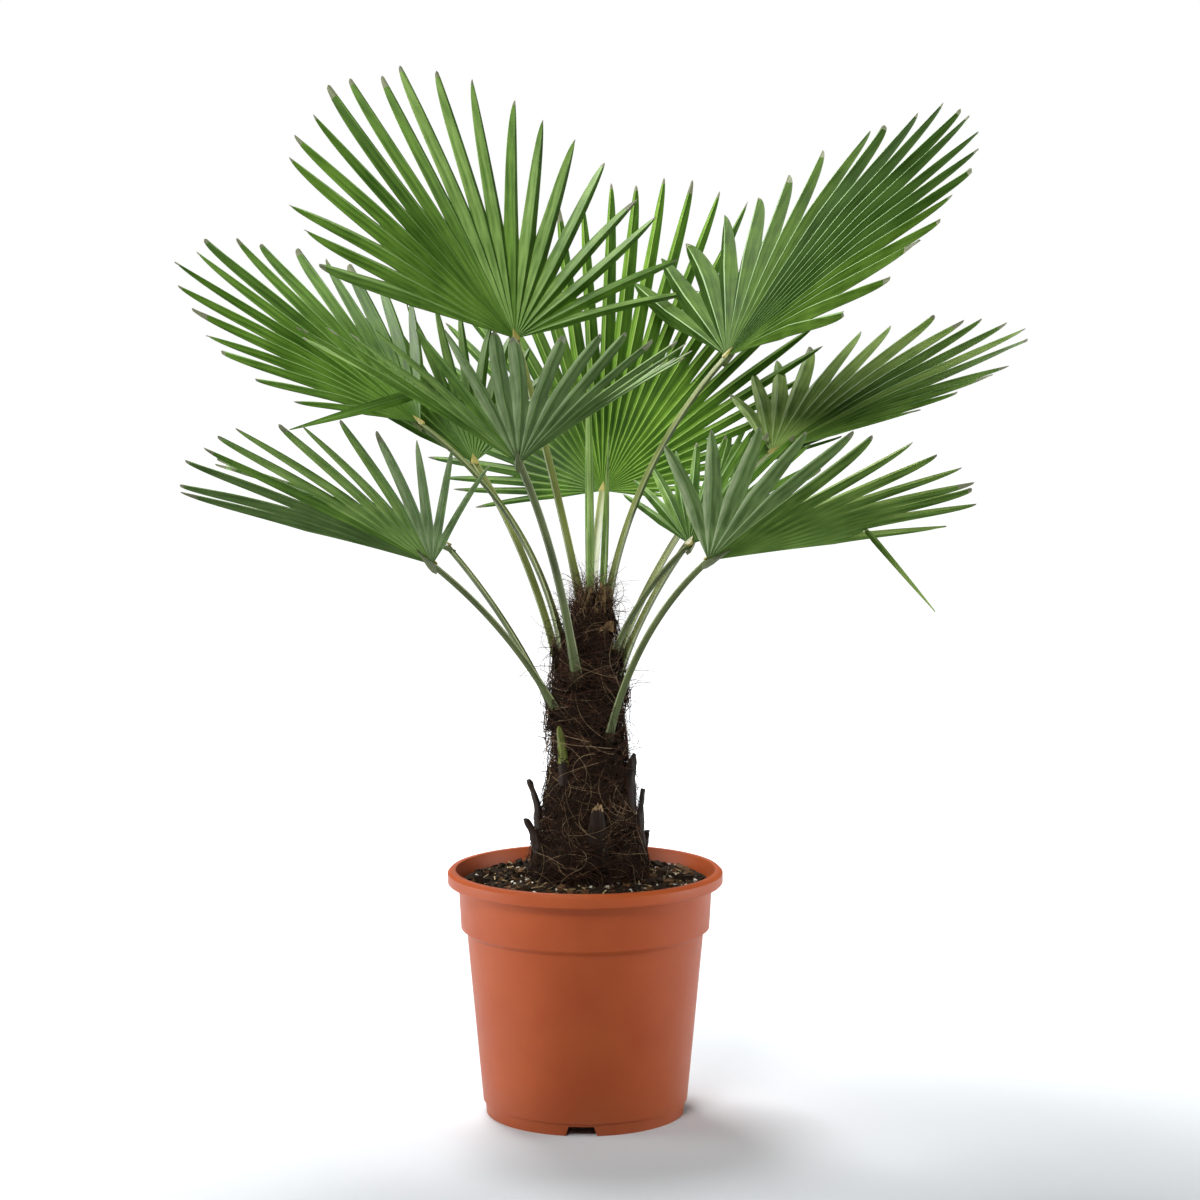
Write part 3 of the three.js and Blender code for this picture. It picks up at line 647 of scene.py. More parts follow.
fibre = {
    "matted": {"count": 3400, "length": (24, 74), "thick": (0.55, 1.3), "depth": (-3.2, 1.0),
               "top": (518, 534)},  # they start below the first height and end below the second
    "slant": (48, 108),  # degrees from upright
    "bow": 150,  # how far a strand turns on its way
    "flyaway": 3.4, "arch": 1.4, "tucked": 1.8, "wander": 0.12,
    "steps": 8,
    "loose": {"count": 380, "length": (26, 74), "thick": (0.7, 1.15), "curl": 0.62,
              "height": (270, 528), "shades": (0, 0, 0, 1)},
    "crown": {"count": 330, "length": (18, 52), "thick": (0.6, 1.2), "curl": 0.35,
              "height": (492, 531), "shades": (0, 1, 1, 2)},
    "collar": {"count": 46, "thick": (0.7, 1.3), "depth": (0.4, 1.1),  # over the foot of a stalk
               "height": (-22, 12), "turn": (-34, 12), "shades": (0, 0, 0, 0, 0, 0, 1, 1, 1, 2)},
    "roots": {"count": 190, "length": (18, 52), "thick": (0.7, 1.6), "curl": 0.5,
              "height": 248, "reach": 118, "shades": (0, 1, 1, 2)},
    "radius": 0.45,  # the real ones are about 0.2 mm and are drawn thicker so that they show
    "seed": 33,
}


def mattedPath(rng, z, turn, height):
    steps = fibre["steps"]
    step = rng.uniform(*fibre["matted"]["length"]) / steps
    slant = math.radians(rng.choice([-1, 1]) * rng.uniform(*fibre["slant"]))
    bow = math.radians(rng.uniform(-1, 1) * fibre["bow"]) / steps
    flyaway = max(0, rng.gauss(0, fibre["flyaway"]))
    top = rng.uniform(*fibre["matted"]["top"])
    path = []
    for i in range(steps + 1):
        t = i / steps
        _, radius = trunkAt(z)
        off = height + flyaway * t ** 3 + math.sin(math.pi * t) * fibre["arch"]
        if i == 0:
            off -= fibre["tucked"]
        path.append(onTrunk(turn, z, off - slimming(z)))
        slant += bow + rng.uniform(-fibre["wander"], fibre["wander"])
        z = min(max(z + step * math.cos(slant), trunkShape["foot"] - 2), top)
        turn += math.degrees(step * math.sin(slant) / radius)
    return path


def curlyPath(rng, start, way, length, curl):
    path = [start]
    steps = fibre["steps"] + 1
    direction = way.normalized()
    axis = Vector((rng.gauss(0, 1), rng.gauss(0, 1), rng.gauss(0, 1))).normalized()
    for _ in range(steps):
        direction.rotate(Matrix.Rotation(rng.uniform(0.2, 1.0) * curl, 3, axis))
        path.append(path[-1] + direction * (length / steps))
    return path


def strandPiece(name, shape):
    piece = meshPiece(name, shape, [darkStrand, brownStrand, paleStrand])
    finishPiece(piece, smoothAngle=80)


# One strand of a kind along a path
def layStrand(shape, rng, kind, path):
    thick = fibre["radius"] * rng.uniform(*kind["thick"])
    addStrand(shape, path, thick, rng.choice(kind["shades"]))


def makeMattedStrands(rng):
    shape = newShape()
    kind = fibre["matted"]
    for _ in range(kind["count"]):
        thick = fibre["radius"] * rng.uniform(*kind["thick"])
        z = mix(trunkShape["foot"] - 1, kind["top"][0], rng.random())
        path = mattedPath(rng, z, rng.uniform(0, 360), rng.uniform(*kind["depth"]))
        addStrand(shape, path, thick, rng.choice(fibre["collar"]["shades"]))
    strandPiece("mattedStrands", shape)


# Strands that stand off the trunk, stand up round its top, lie over the stalks' feet, and the
# thin roots that run out over the compost
def makeLooseStrands(rng):
    shape = newShape()
    kind = fibre["loose"]
    low, high = kind["height"]
    for _ in range(kind["count"]):
        z = mix(low, high, rng.random() ** 0.7)
        turn = rng.uniform(0, 360)
        way = bearing(turn + rng.uniform(-60, 60)) + up * rng.uniform(-0.5, 0.9)
        length = rng.uniform(*kind["length"]) * mix(0.55, 1, (z - low) / (high - low))
        path = curlyPath(rng, onTrunk(turn, z, -1 - slimming(z)), way, length, kind["curl"])
        layStrand(shape, rng, kind, path)
    kind = fibre["crown"]
    for _ in range(kind["count"]):
        turn = rng.uniform(0, 360)
        z = rng.uniform(*kind["height"])
        way = bearing(turn) * rng.uniform(-0.35, 0.5) + up
        start = onTrunk(turn, z, -1.5 - slimming(z))
        path = curlyPath(rng, start, way, rng.uniform(*kind["length"]), kind["curl"])
        layStrand(shape, rng, kind, path)
    kind = fibre["collar"]
    feet = [(*frond["base"], collarShape["stand"]) for frond in fronds.values()]
    feet += [(turn, root + 6, 4) for turn, root, *_ in stubs.values()]
    feet += [(stubs["front"][0], stubs["front"][1] + rise, 10) for rise in (16, 30)]
    for turn, height, stand in feet:
        for _ in range(kind["count"]):
            z = height + rng.uniform(*kind["height"])
            around = turn + rng.uniform(*kind["turn"])
            path = mattedPath(rng, z, around, stand * rng.uniform(*kind["depth"]))
            layStrand(shape, rng, kind, path)
    kind = fibre["roots"]
    for _ in range(kind["count"]):
        turn = rng.uniform(0, 360)
        start = onTrunk(turn, kind["height"], rng.uniform(-2, 14))
        start.z = compostHeight(start.length) + rng.uniform(0, 5)
        way = bearing(turn + rng.uniform(-70, 70)) + up * rng.uniform(0, 0.5)
        path = curlyPath(rng, start, way, rng.uniform(*kind["length"]), kind["curl"])
        for point in path:
            radius = math.hypot(point.x, point.y)
            point.z = max(point.z, compostHeight(radius) + 0.5)
            if radius > kind["reach"]:
                point.x *= kind["reach"] / radius
                point.y *= kind["reach"] / radius
        layStrand(shape, rng, kind, path)
    strandPiece("looseStrands", shape)


# Old sheaths hug the trunk one above another like torn cloth, and each stalk comes out of one
sheath = {
    "count": 34, "lowest": 246, "highest": 500,
    "width": 76, "rise": 34,
    "stand": 4,  # how far the torn edge stands off the trunk
    "thickness": 1.0,
    "across": 18, "upwards": 6,
    "seed": 8,
}
collarShape = {"width": 38, "rise": 36, "drop": 20, "stand": 9}
topSheaths = [  # turn, root, width, rise, stand: torn tan cloth under the youngest stalks
    (-62, 510, 20, 36, 9),
    (-118, 508, 22, 36, 8),
    (20, 510, 24, 28, 9),
    (150, 510, 26, 30, 8),
    (-46, 488, 16, 24, 15),
]


def addSheath(cloth, n, turn, root, width, rise, stand, slot):
    across, upwards = sheath["across"], sheath["upwards"]
    first = len(cloth["points"])
    for side in (0, 1):
        for j in range(upwards + 1):
            v = j / upwards
            for i in range(across + 1):
                u = i / across * 2 - 1
                tear = 0.55 * chance(i, n + 3) ** 1.6 + 0.25 * chance(i // 3, n + 9)
                z = root + rise * v * (1 - 0.45 * abs(u) ** 2.2 - tear * v)
                _, radius = trunkAt(z)
                swing = math.degrees(u * width / 2 * (1 - 0.2 * v) / radius)
                ripple = math.sin(i * 1.3 + n) * v * 0.8
                off = stand * v * v * (1 - 0.6 * u * u) + ripple - 1.6
                off -= side * sheath["thickness"] + slimming(z)
                cloth["points"].append(onTrunk(turn + swing, z, off))
                cloth["grain"].append((u * width / 2 * mm, v * rise * mm))
    row = across + 1
    layer = row * (upwards + 1)
    for j in range(upwards):
        for i in range(across):
            a = first + j * row + i
            b = a + layer
            addFace(cloth, [a, a + 1, a + row + 1, a + row], slot)
            addFace(cloth, [b + row, b + row + 1, b + 1, b], slot)
    border = list(range(row))
    border += [j * row + across for j in range(1, upwards + 1)]
    border += [upwards * row + i for i in range(across - 1, -1, -1)]
    border += [j * row for j in range(upwards - 1, 0, -1)]
    for a, b in zip(border, border[1:] + border[:1]):
        addFace(cloth, [first + a, first + layer + a, first + layer + b, first + b], slot)


def makeSheaths():
    rng = random.Random(sheath["seed"])
    cloth = newShape()
    for n in range(sheath["count"]):
        share = n / (sheath["count"] - 1)
        root = mix(sheath["lowest"], sheath["highest"], share ** 1.1)
        turn = n * goldenTurn + rng.uniform(-14, 14)
        width = sheath["width"] * rng.uniform(0.75, 1.15) * mix(1, 0.6, share)
        rise = sheath["rise"] * rng.uniform(0.7, 1.2) * mix(1, 0.8, share)
        addSheath(cloth, n, turn, root, width, rise, sheath["stand"] * rng.uniform(0.4, 1.2), 0)
    c = collarShape
    for n, frond in enumerate(fronds.values()):
        turn, height = frond["base"]
        addSheath(cloth, 50 + n, turn, height - c["drop"], c["width"], c["rise"], c["stand"], 0)
    for n, sizes in enumerate(topSheaths):
        addSheath(cloth, 80 + n, *sizes, 1)
    piece = meshPiece("tornSheaths", cloth, [oldSheath, tornSheath])
    finishPiece(piece, smoothAngle=50)


print("trunk made")


# Old leaf bases: horns left where fronds were cut

stubs = {  # turn, root, rise, width, lean
    "left_high": (187, 292, 50, 20, 20),
    "left_low": (205, 268, 38, 22, 22),
    "right_high": (-22, 312, 58, 20, 9),
    "right_mid": (-8, 272, 60, 22, 11),
    "right_low": (14, 250, 36, 20, 10),
    "front": (-81, 262, 60, 34, 10),
    "front_green": (-128, 340, 60, 20, 12),
    "back_left": (128, 280, 54, 24, 16),
    "back_right": (62, 300, 56, 24, 16),
    "back_low": (96, 256, 40, 24, 16),
}
stubShape = {
    "thickness": 9, "sag": 0.25, "narrows": 0.62, "thins": 0.45, "steps": 9,
    "slender": {"front_green": 0.6, "front": 0.72}, "tear": {"front": 9},
    "paleTop": 5, "greenFrom": 0.4,  # mm below the top, and share of the rise
}


# One horn a unit high and wide, extruded upwards from a cube and narrowed; the root is at z 0
def makeHorn():
    look = stubShape
    step = 1 / (look["steps"] + 1)
    onlySelect(None)
    bpy.ops.mesh.primitive_cube_add(size=1, location=(0, 0, step / 2))
    horn = bpy.context.object
    horn.scale = (1, 1, step)
    bpy.ops.object.transform_apply(location=True, rotation=False, scale=True)
    bpy.ops.object.mode_set(mode="EDIT")
    bpy.ops.mesh.select_mode(type="FACE")
    bpy.ops.mesh.select_all(action="DESELECT")
    bpy.ops.object.mode_set(mode="OBJECT")
    for face in horn.data.polygons:
        face.select = face.normal.z > 0.9
    bpy.ops.object.mode_set(mode="EDIT")
    width, depth = 1.0, 1.0
    for i in range(look["steps"]):
        t = (i + 2) * step
        nextWidth = 1 - look["narrows"] * t * t
        nextDepth = 1 - look["thins"] * t
        bpy.ops.mesh.extrude_region_move(TRANSFORM_OT_translate={"value": (0, 0, step)})
        bpy.ops.transform.resize(value=(nextWidth / width, nextDepth / depth, 1),
                                 center_override=(0, 0, t))
        width, depth = nextWidth, nextDepth
    editAll(horn, bpy.ops.mesh.subdivide, number_cuts=2)
    for vertex in horn.data.vertices:  # a rounded back, a hollow front and a ragged tip
        x, y, z = vertex.co
        edge = abs(x) / max(0.05, 0.5 * (1 - look["narrows"] * z * z))
        y = y * (1 - 0.45 * edge ** 2) + 0.18 * (1 - edge ** 2) - 0.05
        ragged = 0.1 * noise.noise(Vector((x * 9, y * 3, 5))) if z > 0.8 else 0
        vertex.co = (x, y, z + ragged * (z - 0.8) * 5)
    applyModifier(horn, "SUBSURF", levels=1, render_levels=1)
    return horn


# Gives a base its second material above a ragged line; line, patch and depth are in mm
def paintTop(mesh, line, patch, depth):
    for face in mesh.polygons:
        ragged = noise.noise(face.center / (patch * mm)) * depth * mm
        face.material_index = 1 if face.center.z + ragged > line * mm else 0


def placeHorn(horn, name, turn, root, rise, width, lean):
    look = stubShape
    width *= look["slender"].get(name, 1)
    mesh = horn.data.copy()
    piece = bpy.data.objects.new("leafBase_" + name, mesh)
    bpy.context.collection.objects.link(piece)
    mesh.name = piece.name
    out = bearing(turn)
    side = up.cross(out)
    tipX, tipRadius = trunkAt(root + rise)
    foot = onTrunk(turn, root, -1)
    tip = Vector((tipX, 0, root + rise)) + out * (tipRadius + lean)
    bend = foot.lerp(tip, 0.5) - out * (lean * look["sag"])
    seed = root + turn
    grain = []
    for vertex in mesh.vertices:
        x, y, z = vertex.co
        grain.append((x * width * mm, z * rise * mm))
        t = min(1.05, max(0, z))
        centre = foot * (1 - t) ** 2 + bend * (2 * t * (1 - t)) + tip * t * t
        rough = noise.noise(Vector((x * 5, y * 3, z * 5 + seed))) * 1.8
        spot = centre + side * (x * width) + out * (y * look["thickness"] + rough)
        tear = look["tear"].get(name, 0) * max(0, z - 0.8) * 5
        spot.z += noise.noise(Vector((x * 14, y * 4, 3))) * tear
        vertex.co = spot * mm
    # side, out and up are a mirrored frame, which leaves the faces pointing inwards
    editAll(piece, bpy.ops.mesh.normals_make_consistent, inside=False)
    setGrain(mesh, grain)
    mesh.materials.append(oldBase)
    if name == "front":  # torn, so that its paler inside shows at the top
        mesh.materials.append(tornSheath)
        paintTop(mesh, max(face.center.z for face in mesh.polygons) / mm - look["paleTop"], 2.5, 9)
    if name == "front_green":
        mesh.materials.append(freshBase)
        paintTop(mesh, root + look["greenFrom"] * rise, 3, 10)
    finishPiece(piece, ["stub_" + name], 50)


horn = makeHorn()
for name, sizes in stubs.items():
    placeHorn(horn, name, *sizes)
bpy.data.objects.remove(horn)
print("leaf bases made")


# Fronds: base is the stalk's turn and height on the trunk, hub where its leaflets meet, aim the
# middle leaflet's compass angle and rise. skew joins the leaflets of one side further than the
# other's, and lopside makes them shorter. The painted shade range, pale, darkBelow and blunt give
# the first and the last leaflet that are so: leaflets in the painted shade range take the darkest
# tones as painted shade, and those in pale the paler tones as painted light. bent is a leaflet,
# the share of it that stays, and where it hangs to.

plainForm = {"sideCut": 0.3, "cup": 5, "droop": 0.06}
fronds = {
    "top_left": {
        "base": (120, 506), "hub": (-73, 109, 787), "bulge": 0.02, "aim": (130, 62), "roll": -4,
        "length": 344, "spread": 80, "sideCut": 0.2, "cup": 10, "droop": 0.03,
        "leaflets": 20, "notch": 0.45, "skew": 0.13, "seed": 1, "paintedShade": (11, 14), "pale": (15, 19)},
    "top_right": {
        "base": (14, 498), "hub": (145, 68, 769), "bulge": 0.08, "aim": (15, 50), "roll": -4,
        "length": 370, "spread": 84, "sideCut": 0.1, "cup": 11, "droop": 0.05,
        "leaflets": 21, "notch": 0.54, "seed": 2, "paintedShade": (8, 20), "pale": (0, 4)},
    "left_upper": {
        "base": (178, 466), "hub": (-168, 37, 701), "bulge": 0.1, "aim": (177, 41), "roll": 20,
        "length": 308, "spread": 64, "sideCut": 0.36, "cup": 17, "droop": 0.06,
        "leaflets": 16, "notch": 0.52, "seed": 3, "paintedShade": (2, 7), "pale": (10, 15)},
    "front_left": {
        "base": (247, 440), "hub": (-62, -160, 670), "bulge": 0.06, "aim": (268.5, 32), "roll": -1,
        "length": 268, "spread": 80, "sideCut": 0.25, "lopside": 0.11, "cup": 49, "droop": 0.05,
        "leaflets": 22, "notch": 0.45, "seed": 4, "bent": (0, 0.1, (-277, -176, 702), 12),
        "darkBelow": (0, 8), "blunt": (10, 16)},
    "left_lower": {
        "base": (205, 405), "hub": (-149, -80, 567), "bulge": 0.05, "aim": (236, 35), "roll": -8,
        "length": 298, "spread": 46, "sideCut": 0.15, "cup": 0, "droop": 0.07,
        "leaflets": 13, "notch": 0.42, "skew": -0.14, "seed": 5, "darkBelow": (3, 8)},
    "right_upper": {
        "base": (-4, 438), "hub": (192, 65, 670), "bulge": 0.07, "aim": (31, 31), "roll": -3,
        "length": 320, "spread": 66, "sideCut": 0.47, "cup": 16, "droop": 0.06,
        "leaflets": 16, "notch": 0.5, "seed": 8, "pale": (8, 15)},
    "front_right": {
        "base": (301, 378), "hub": (120, -106, 573), "bulge": 0.1, "aim": (323, 27), "roll": 15,
        "length": 280, "spread": 59, "sideCut": 0.05, "cup": 15, "droop": 0.04,
        "leaflets": 14, "notch": 0.5, "skew": 0.05, "seed": 9, "bent": (12, 0.1, (336, -145, 527), 6.5),
        "paintedShade": (7, 13), "pale": (0, 4), "darkBelow": (5, 13)},
    "centre_rear": {
        "base": (86, 500), "hub": (18, 280, 619), "bulge": 0.04, "aim": (67, 67), "roll": 6,
        "length": 400, "spread": 97, "sideCut": 0.69, "lopside": -0.07, "cup": 0, "droop": 0.02,
        "leaflets": 34, "notch": 0.46, "seed": 7},
    "left_rear": {
        "base": (168, 398), "hub": (-140, 20, 578), "bulge": 0.04, "aim": (168, 22), "roll": -10,
        "length": 262, "spread": 52, "leaflets": 12, "seed": 6, **plainForm},
    "right_lower": {
        "base": (338, 462), "hub": (104, -30, 583), "bulge": 0.06, "aim": (58, 40), "roll": 0,
        "length": 190, "spread": 60, "leaflets": 14, "seed": 10, **plainForm},
    "rear_left": {
        "base": (150, 430), "hub": (-118, 150, 656), "bulge": 0.05, "aim": (122, 58), "roll": 0,
        "length": 222, "spread": 58, "leaflets": 14, "seed": 11, **plainForm},
    "rear_right": {
        "base": (40, 440), "hub": (140, 130, 640), "bulge": 0.05, "aim": (34, 30), "roll": 0,
        "length": 200, "spread": 46, "leaflets": 14, "seed": 12, **plainForm},
}
# right_upper and front_right take the paler tones, partly as painted light, and top_right the darker
# ones as painted shade
leafKind = {  # the others are grown
    "centre_rear": "young", "right_upper": "oldAndPaintedLit", "front_right": "oldAndPaintedLit", "top_right": "paintedShade",
}

strandChance = random.Random(fibre["seed"])
makeMattedStrands(strandChance)
makeLooseStrands(strandChance)
makeSheaths()
print("fibres made")


# Stalks

stalkShape = {
    "width": 9.5, "hubWidth": 8, "baseWidth": 15,
    "flareShare": 0.22,
    "depth": 0.72,
    "cuts": 9, "between": 3,  # knots along the stalk, and rings from one to the next
    "section": [  # half the section: across and up, as shares of its width
        (0, 0.15), (0.22, 0.19), (0.4, 0.3), (0.47, 0.31), (0.5, 0.25), (0.47, 0.08),
        (0.36, -0.22), (0.2, -0.46), (0, -0.58)],
    "sunk": 5,  # the foot lies this far under the fibres
    "brownLength": 15,
}


def stalkSection():
    onlySelect(None)
    half = stalkShape["section"]
    whole = half + [(-x, y) for x, y in reversed(half[1:-1])]
    bpy.ops.curve.primitive_bezier_circle_add()
    section = bpy.context.object
    section.data.splines.clear()
    spline = section.data.splines.new("POLY")
    spline.points.add(len(whole) - 1)
    width = stalkShape["width"] * mm
    for point, (x, y) in zip(spline.points, whole):
        point.co = (x * width, y * width * stalkShape["depth"], 0, 1)
    spline.use_cyclic_u = True
    return section, len(whole)


def stalkLine(frond):
    turn, height = frond["base"]
    out = bearing(turn)
    foot = onTrunk(turn, height, -stalkShape["sunk"] - slimming(height))
    hub = Vector(frond["hub"])
    chord = hub - foot
    across = chord.normalized()
    upper = up - out
    upper = (upper - across * upper.dot(across)).normalized()
    bend = foot.lerp(hub, 0.5) + upper * (2 * frond["bulge"] * chord.length)
    return foot, bend, hub


def makeStalk(name, frond, section, sides):
    foot, bend, hub = (p * mm for p in stalkLine(frond))
    onlySelect(None)
    bpy.ops.curve.primitive_bezier_curve_add()
    stalk = bpy.context.object
    spline = stalk.data.splines[0]
    first, last = spline.bezier_points
    for point in (first, last):
        point.handle_left_type = point.handle_right_type = "FREE"
    first.co = first.handle_left = foot
    first.handle_right = foot + (bend - foot) * 2 / 3
    last.co = last.handle_right = hub
    last.handle_left = hub + (bend - hub) * 2 / 3
    bpy.ops.object.mode_set(mode="EDIT")
    bpy.ops.curve.select_all(action="SELECT")
    bpy.ops.curve.subdivide(number_cuts=stalkShape["cuts"])
    bpy.ops.object.mode_set(mode="OBJECT")
    knots = stalk.data.splines[0].bezier_points
    for i, point in enumerate(knots):
        t = i / (len(knots) - 1)
        flare = max(0, 1 - t / stalkShape["flareShare"]) ** 2
        width = mix(stalkShape["width"], stalkShape["hubWidth"], t)
        point.radius = mix(width, stalkShape["baseWidth"], flare) / stalkShape["width"]
    stalk.data.resolution_u = stalkShape["between"]
    stalk.data.twist_mode = "Z_UP"
    stalk.data.bevel_mode = "OBJECT"
    stalk.data.bevel_object = section
    stalk.data.use_fill_caps = True
    onlySelect(stalk)
    bpy.ops.object.convert(target="MESH")
    stalk = bpy.context.object
    stalk.name = "leafStalk_" + name
    mesh = stalk.data
    mesh.name = stalk.name
    for material in (stalkTop, stalkPaintedHighlightEdge, stalkPaintedShadeKeel, stalkFoot):
        mesh.materials.append(material)
    # the faces are dealt out by strip: the keel beneath is painted darker as painted shade, and the
    # upper edges paler as painted highlight
    for face in mesh.polygons:  # which strip of the section the face lies in
        places = sorted({v % sides for v in face.vertices})
        if len(face.vertices) != 4 or len(places) != 2:
            continue
        strip = places[0] if places[1] - places[0] == 1 else places[1]
        strip = min(strip, sides - 1 - strip)
        if (face.center - foot).length < stalkShape["brownLength"] * mm:
            face.material_index = 3
        elif strip > 4:
            face.material_index = 2
        elif strip > 1:
            face.material_index = 1
    way = (hub - foot).normalized()
    girth = 2.6 * stalkShape["width"] * mm
    setGrain(mesh, [((i % sides) / sides * girth, (v.co - foot).dot(way))
                    for i, v in enumerate(mesh.vertices)])
    editAll(stalk, bpy.ops.mesh.remove_doubles, threshold=1e-6)
    finishPiece(stalk, ["stalk_" + name], 40)


section, sectionSides = stalkSection()
for name, frond in fronds.items():
    makeStalk(name, frond, section, sectionSides)
bpy.data.objects.remove(section)
print("stalks made")


# Blades: V-folded leaflets joined from the hub to their notches, then free

leafShape = {
    "notch": 0.47,  # share of a leaflet that is joined, where its frond names none
    "notchPlay": 0.05,
    "joinedRows": [0.008, 0.04, 0.09, 0.15, 0.21, 0.26, 0.3]  # a gap ends at one of these
                  + [0.33 + 0.03 * i for i in range(12)],
    "freeRows": [0.07, 0.15, 0.25, 0.36, 0.47, 0.58, 0.68, 0.77, 0.85, 0.91, 0.955, 0.985],
    "across": [-1, -0.95, -0.5, -0.07, 0.07, 0.5, 0.95, 1],
    "thickness": 0.9,
    "fold": -34,
    "lengthPlay": 0.05,
    "swayPlay": 0.5,
    "sagPlay": 0.03,
    "twistPlay": 0.5,
    "arch": 0.07,  # how far each half of a leaflet bows between rib and edge
    # where the painted light comes from: the leaflet half that faces it is painted paler, the other half
    # darker as painted shade
    "paintedLightFrom": Vector((-0.45, 0, 0.9)),
    "pointed": (0.97, 0.38, 5, 0.6),  # width, how much it narrows, and two powers for its tip
    "blunt": (1.02, 0.16, 9, 0.55),
    "dryLeast": 0.03,  # share of the free part that is dry at the tip
    "dryMore": 0.09,
}


leafSlot = {"rib": 5, "dry": 6, "flap": 7, "keel": 8}  # 0 to 2 lie above and 3 and 4 beneath


def bladeAxes(frond):
    turn, rise = (math.radians(a) for a in frond["aim"])
    roll = math.radians(frond["roll"])
    flat = Vector((math.cos(turn), math.sin(turn), 0))
    middle = flat * math.cos(rise) + up * math.sin(rise)
    face = up * math.cos(rise) - flat * math.sin(rise)
    side = face.cross(middle)
    rolledSide = side * math.cos(roll) - face * math.sin(roll)
    rolledFace = face * math.cos(roll) + side * math.sin(roll)
    return middle, rolledSide, rolledFace


# An angle's place across the blade: 0 in the middle and 1 or -1 at the sides
def placeAcross(frond, angle):
    return angle / math.radians(frond["spread"])


def reachAt(frond, angle):
    across = placeAcross(frond, angle)
    return frond["length"] * (1 - frond["sideCut"] * across ** 2 - frond.get("lopside", 0) * across)


def notchAt(frond, angle):
    return frond.get("notch", leafShape["notch"]) + frond.get("skew", 0) * placeAcross(frond, angle)


def bladePoint(frond, axes, angle, along, lift):
    middle, side, face = axes
    reach = reachAt(frond, angle)
    raised = math.radians(frond["cup"]) * (angle / (math.pi / 2)) ** 2
    flat = middle * math.cos(angle) + side * math.sin(angle)
    outwards = flat * math.cos(raised) + face * math.sin(raised)
    normal = face * math.cos(raised) - flat * math.sin(raised)
    point = Vector(frond["hub"]) + outwards * (reach * along) + normal * lift
    return point - up * (frond["droop"] * reach * along * along)


def leafletOf(frond, index):
    halfStep = math.radians(frond["spread"]) / frond["leaflets"]
    seed = frond["seed"]
    return {
        "middle": -math.radians(frond["spread"]) + halfStep * (2 * index + 1),
        "halfStep": halfStep,
        "tip": 1 - leafShape["lengthPlay"] * chance(index, seed),
        "sway": halfStep * leafShape["swayPlay"] * (chance(index, seed + 50) - 0.5) * 2,
        "sag": leafShape["sagPlay"] * (chance(index, seed + 90) - 0.4),
        "twist": leafShape["twistPlay"] * (chance(index, seed + 130) - 0.5) * 2,
    }


# How far out the gap beside a leaflet begins, one of the joined rows
def gapNotch(frond, gapIndex):
    angle = math.radians(frond["spread"]) * (2 * gapIndex / frond["leaflets"] - 1)
    wanted = notchAt(frond, angle)
    if gapIndex in (0, frond["leaflets"]):
        wanted -= leafShape["notchPlay"]
    else:
        wanted += leafShape["notchPlay"] * (chance(gapIndex, frond["seed"] + 20) - 0.5) * 2
    return min(leafShape["joinedRows"], key=lambda row: abs(row - wanted))


def pleatLift(frond, angle, halfStep, along):
    return 0.5 * halfStep * reachAt(frond, angle) * along * math.tan(math.radians(leafShape["fold"]))


# A leaflet keeps its width for most of its free part, then narrows to a tip, which is broad and
# blunt on the leaflets that a frond lists as blunt
def leafletWidth(frond, index, part):
    wide, narrows, late, rounded = leafShape["blunt" if inRange(frond, "blunt", index) else "pointed"]
    return wide * (1 - narrows * part) * max(0, 1 - part ** late) ** rounded


def leafletRow(frond, axes, leaf, index, along, tip):
    notch = notchAt(frond, leaf["middle"])
    fold = pleatLift(frond, leaf["middle"], leaf["halfStep"], notch)
    part = max(0, (along - notch) / (tip - notch))
    ribAngle = leaf["middle"] + leaf["sway"] * part
    ribLift = -fold * (1 - part) if along > notch else -fold * along / notch
    edges = []
    for direction, gapIndex in ((-1, index), (1, index + 1)):
        own = gapNotch(frond, gapIndex)
        edgeAngle = leaf["middle"] + direction * leaf["halfStep"]
        if along <= own:
            lift = pleatLift(frond, edgeAngle, leaf["halfStep"], min(along, notchAt(frond, edgeAngle)))
        else:
            wide = leafletWidth(frond, index, (along - own) / (tip - own))
            edgeAngle = ribAngle + direction * leaf["halfStep"] * wide * own / along
            lift = ribLift + 2 * fold * wide
            lift += direction * leaf["twist"] * part * fold
        edges.append((edgeAngle, lift))
    drop = up * (leaf["sag"] * reachAt(frond, leaf["middle"]) * part * part)
    upper, lower, grain = [], [], []
    for c in leafShape["across"]:
        edgeAngle, edgeLift = edges[0] if c < 0 else edges[1]
        angle = mix(ribAngle, edgeAngle, abs(c))
        lift = mix(ribLift, edgeLift, abs(c))
        lift += leafShape["arch"] * fold * math.sin(math.pi * abs(c)) * min(1, along / notch)
        thick = leafShape["thickness"] * (1 - 0.5 * part) / 2
        upper.append(bladePoint(frond, axes, angle, along, lift + thick) - drop)
        lower.append(bladePoint(frond, axes, angle, along, lift - thick) - drop)
        reach = reachAt(frond, angle)
        grain.append(((angle - ribAngle) * reach * along * mm, reach * along * mm))
    return upper + lower[::-1], grain + grain[::-1]


# Whether a frond lists this leaflet under deep, pale, darkBelow or blunt
def inRange(frond, kind, index):
    first, last = frond.get(kind, (0, -1))
    return first <= index <= last


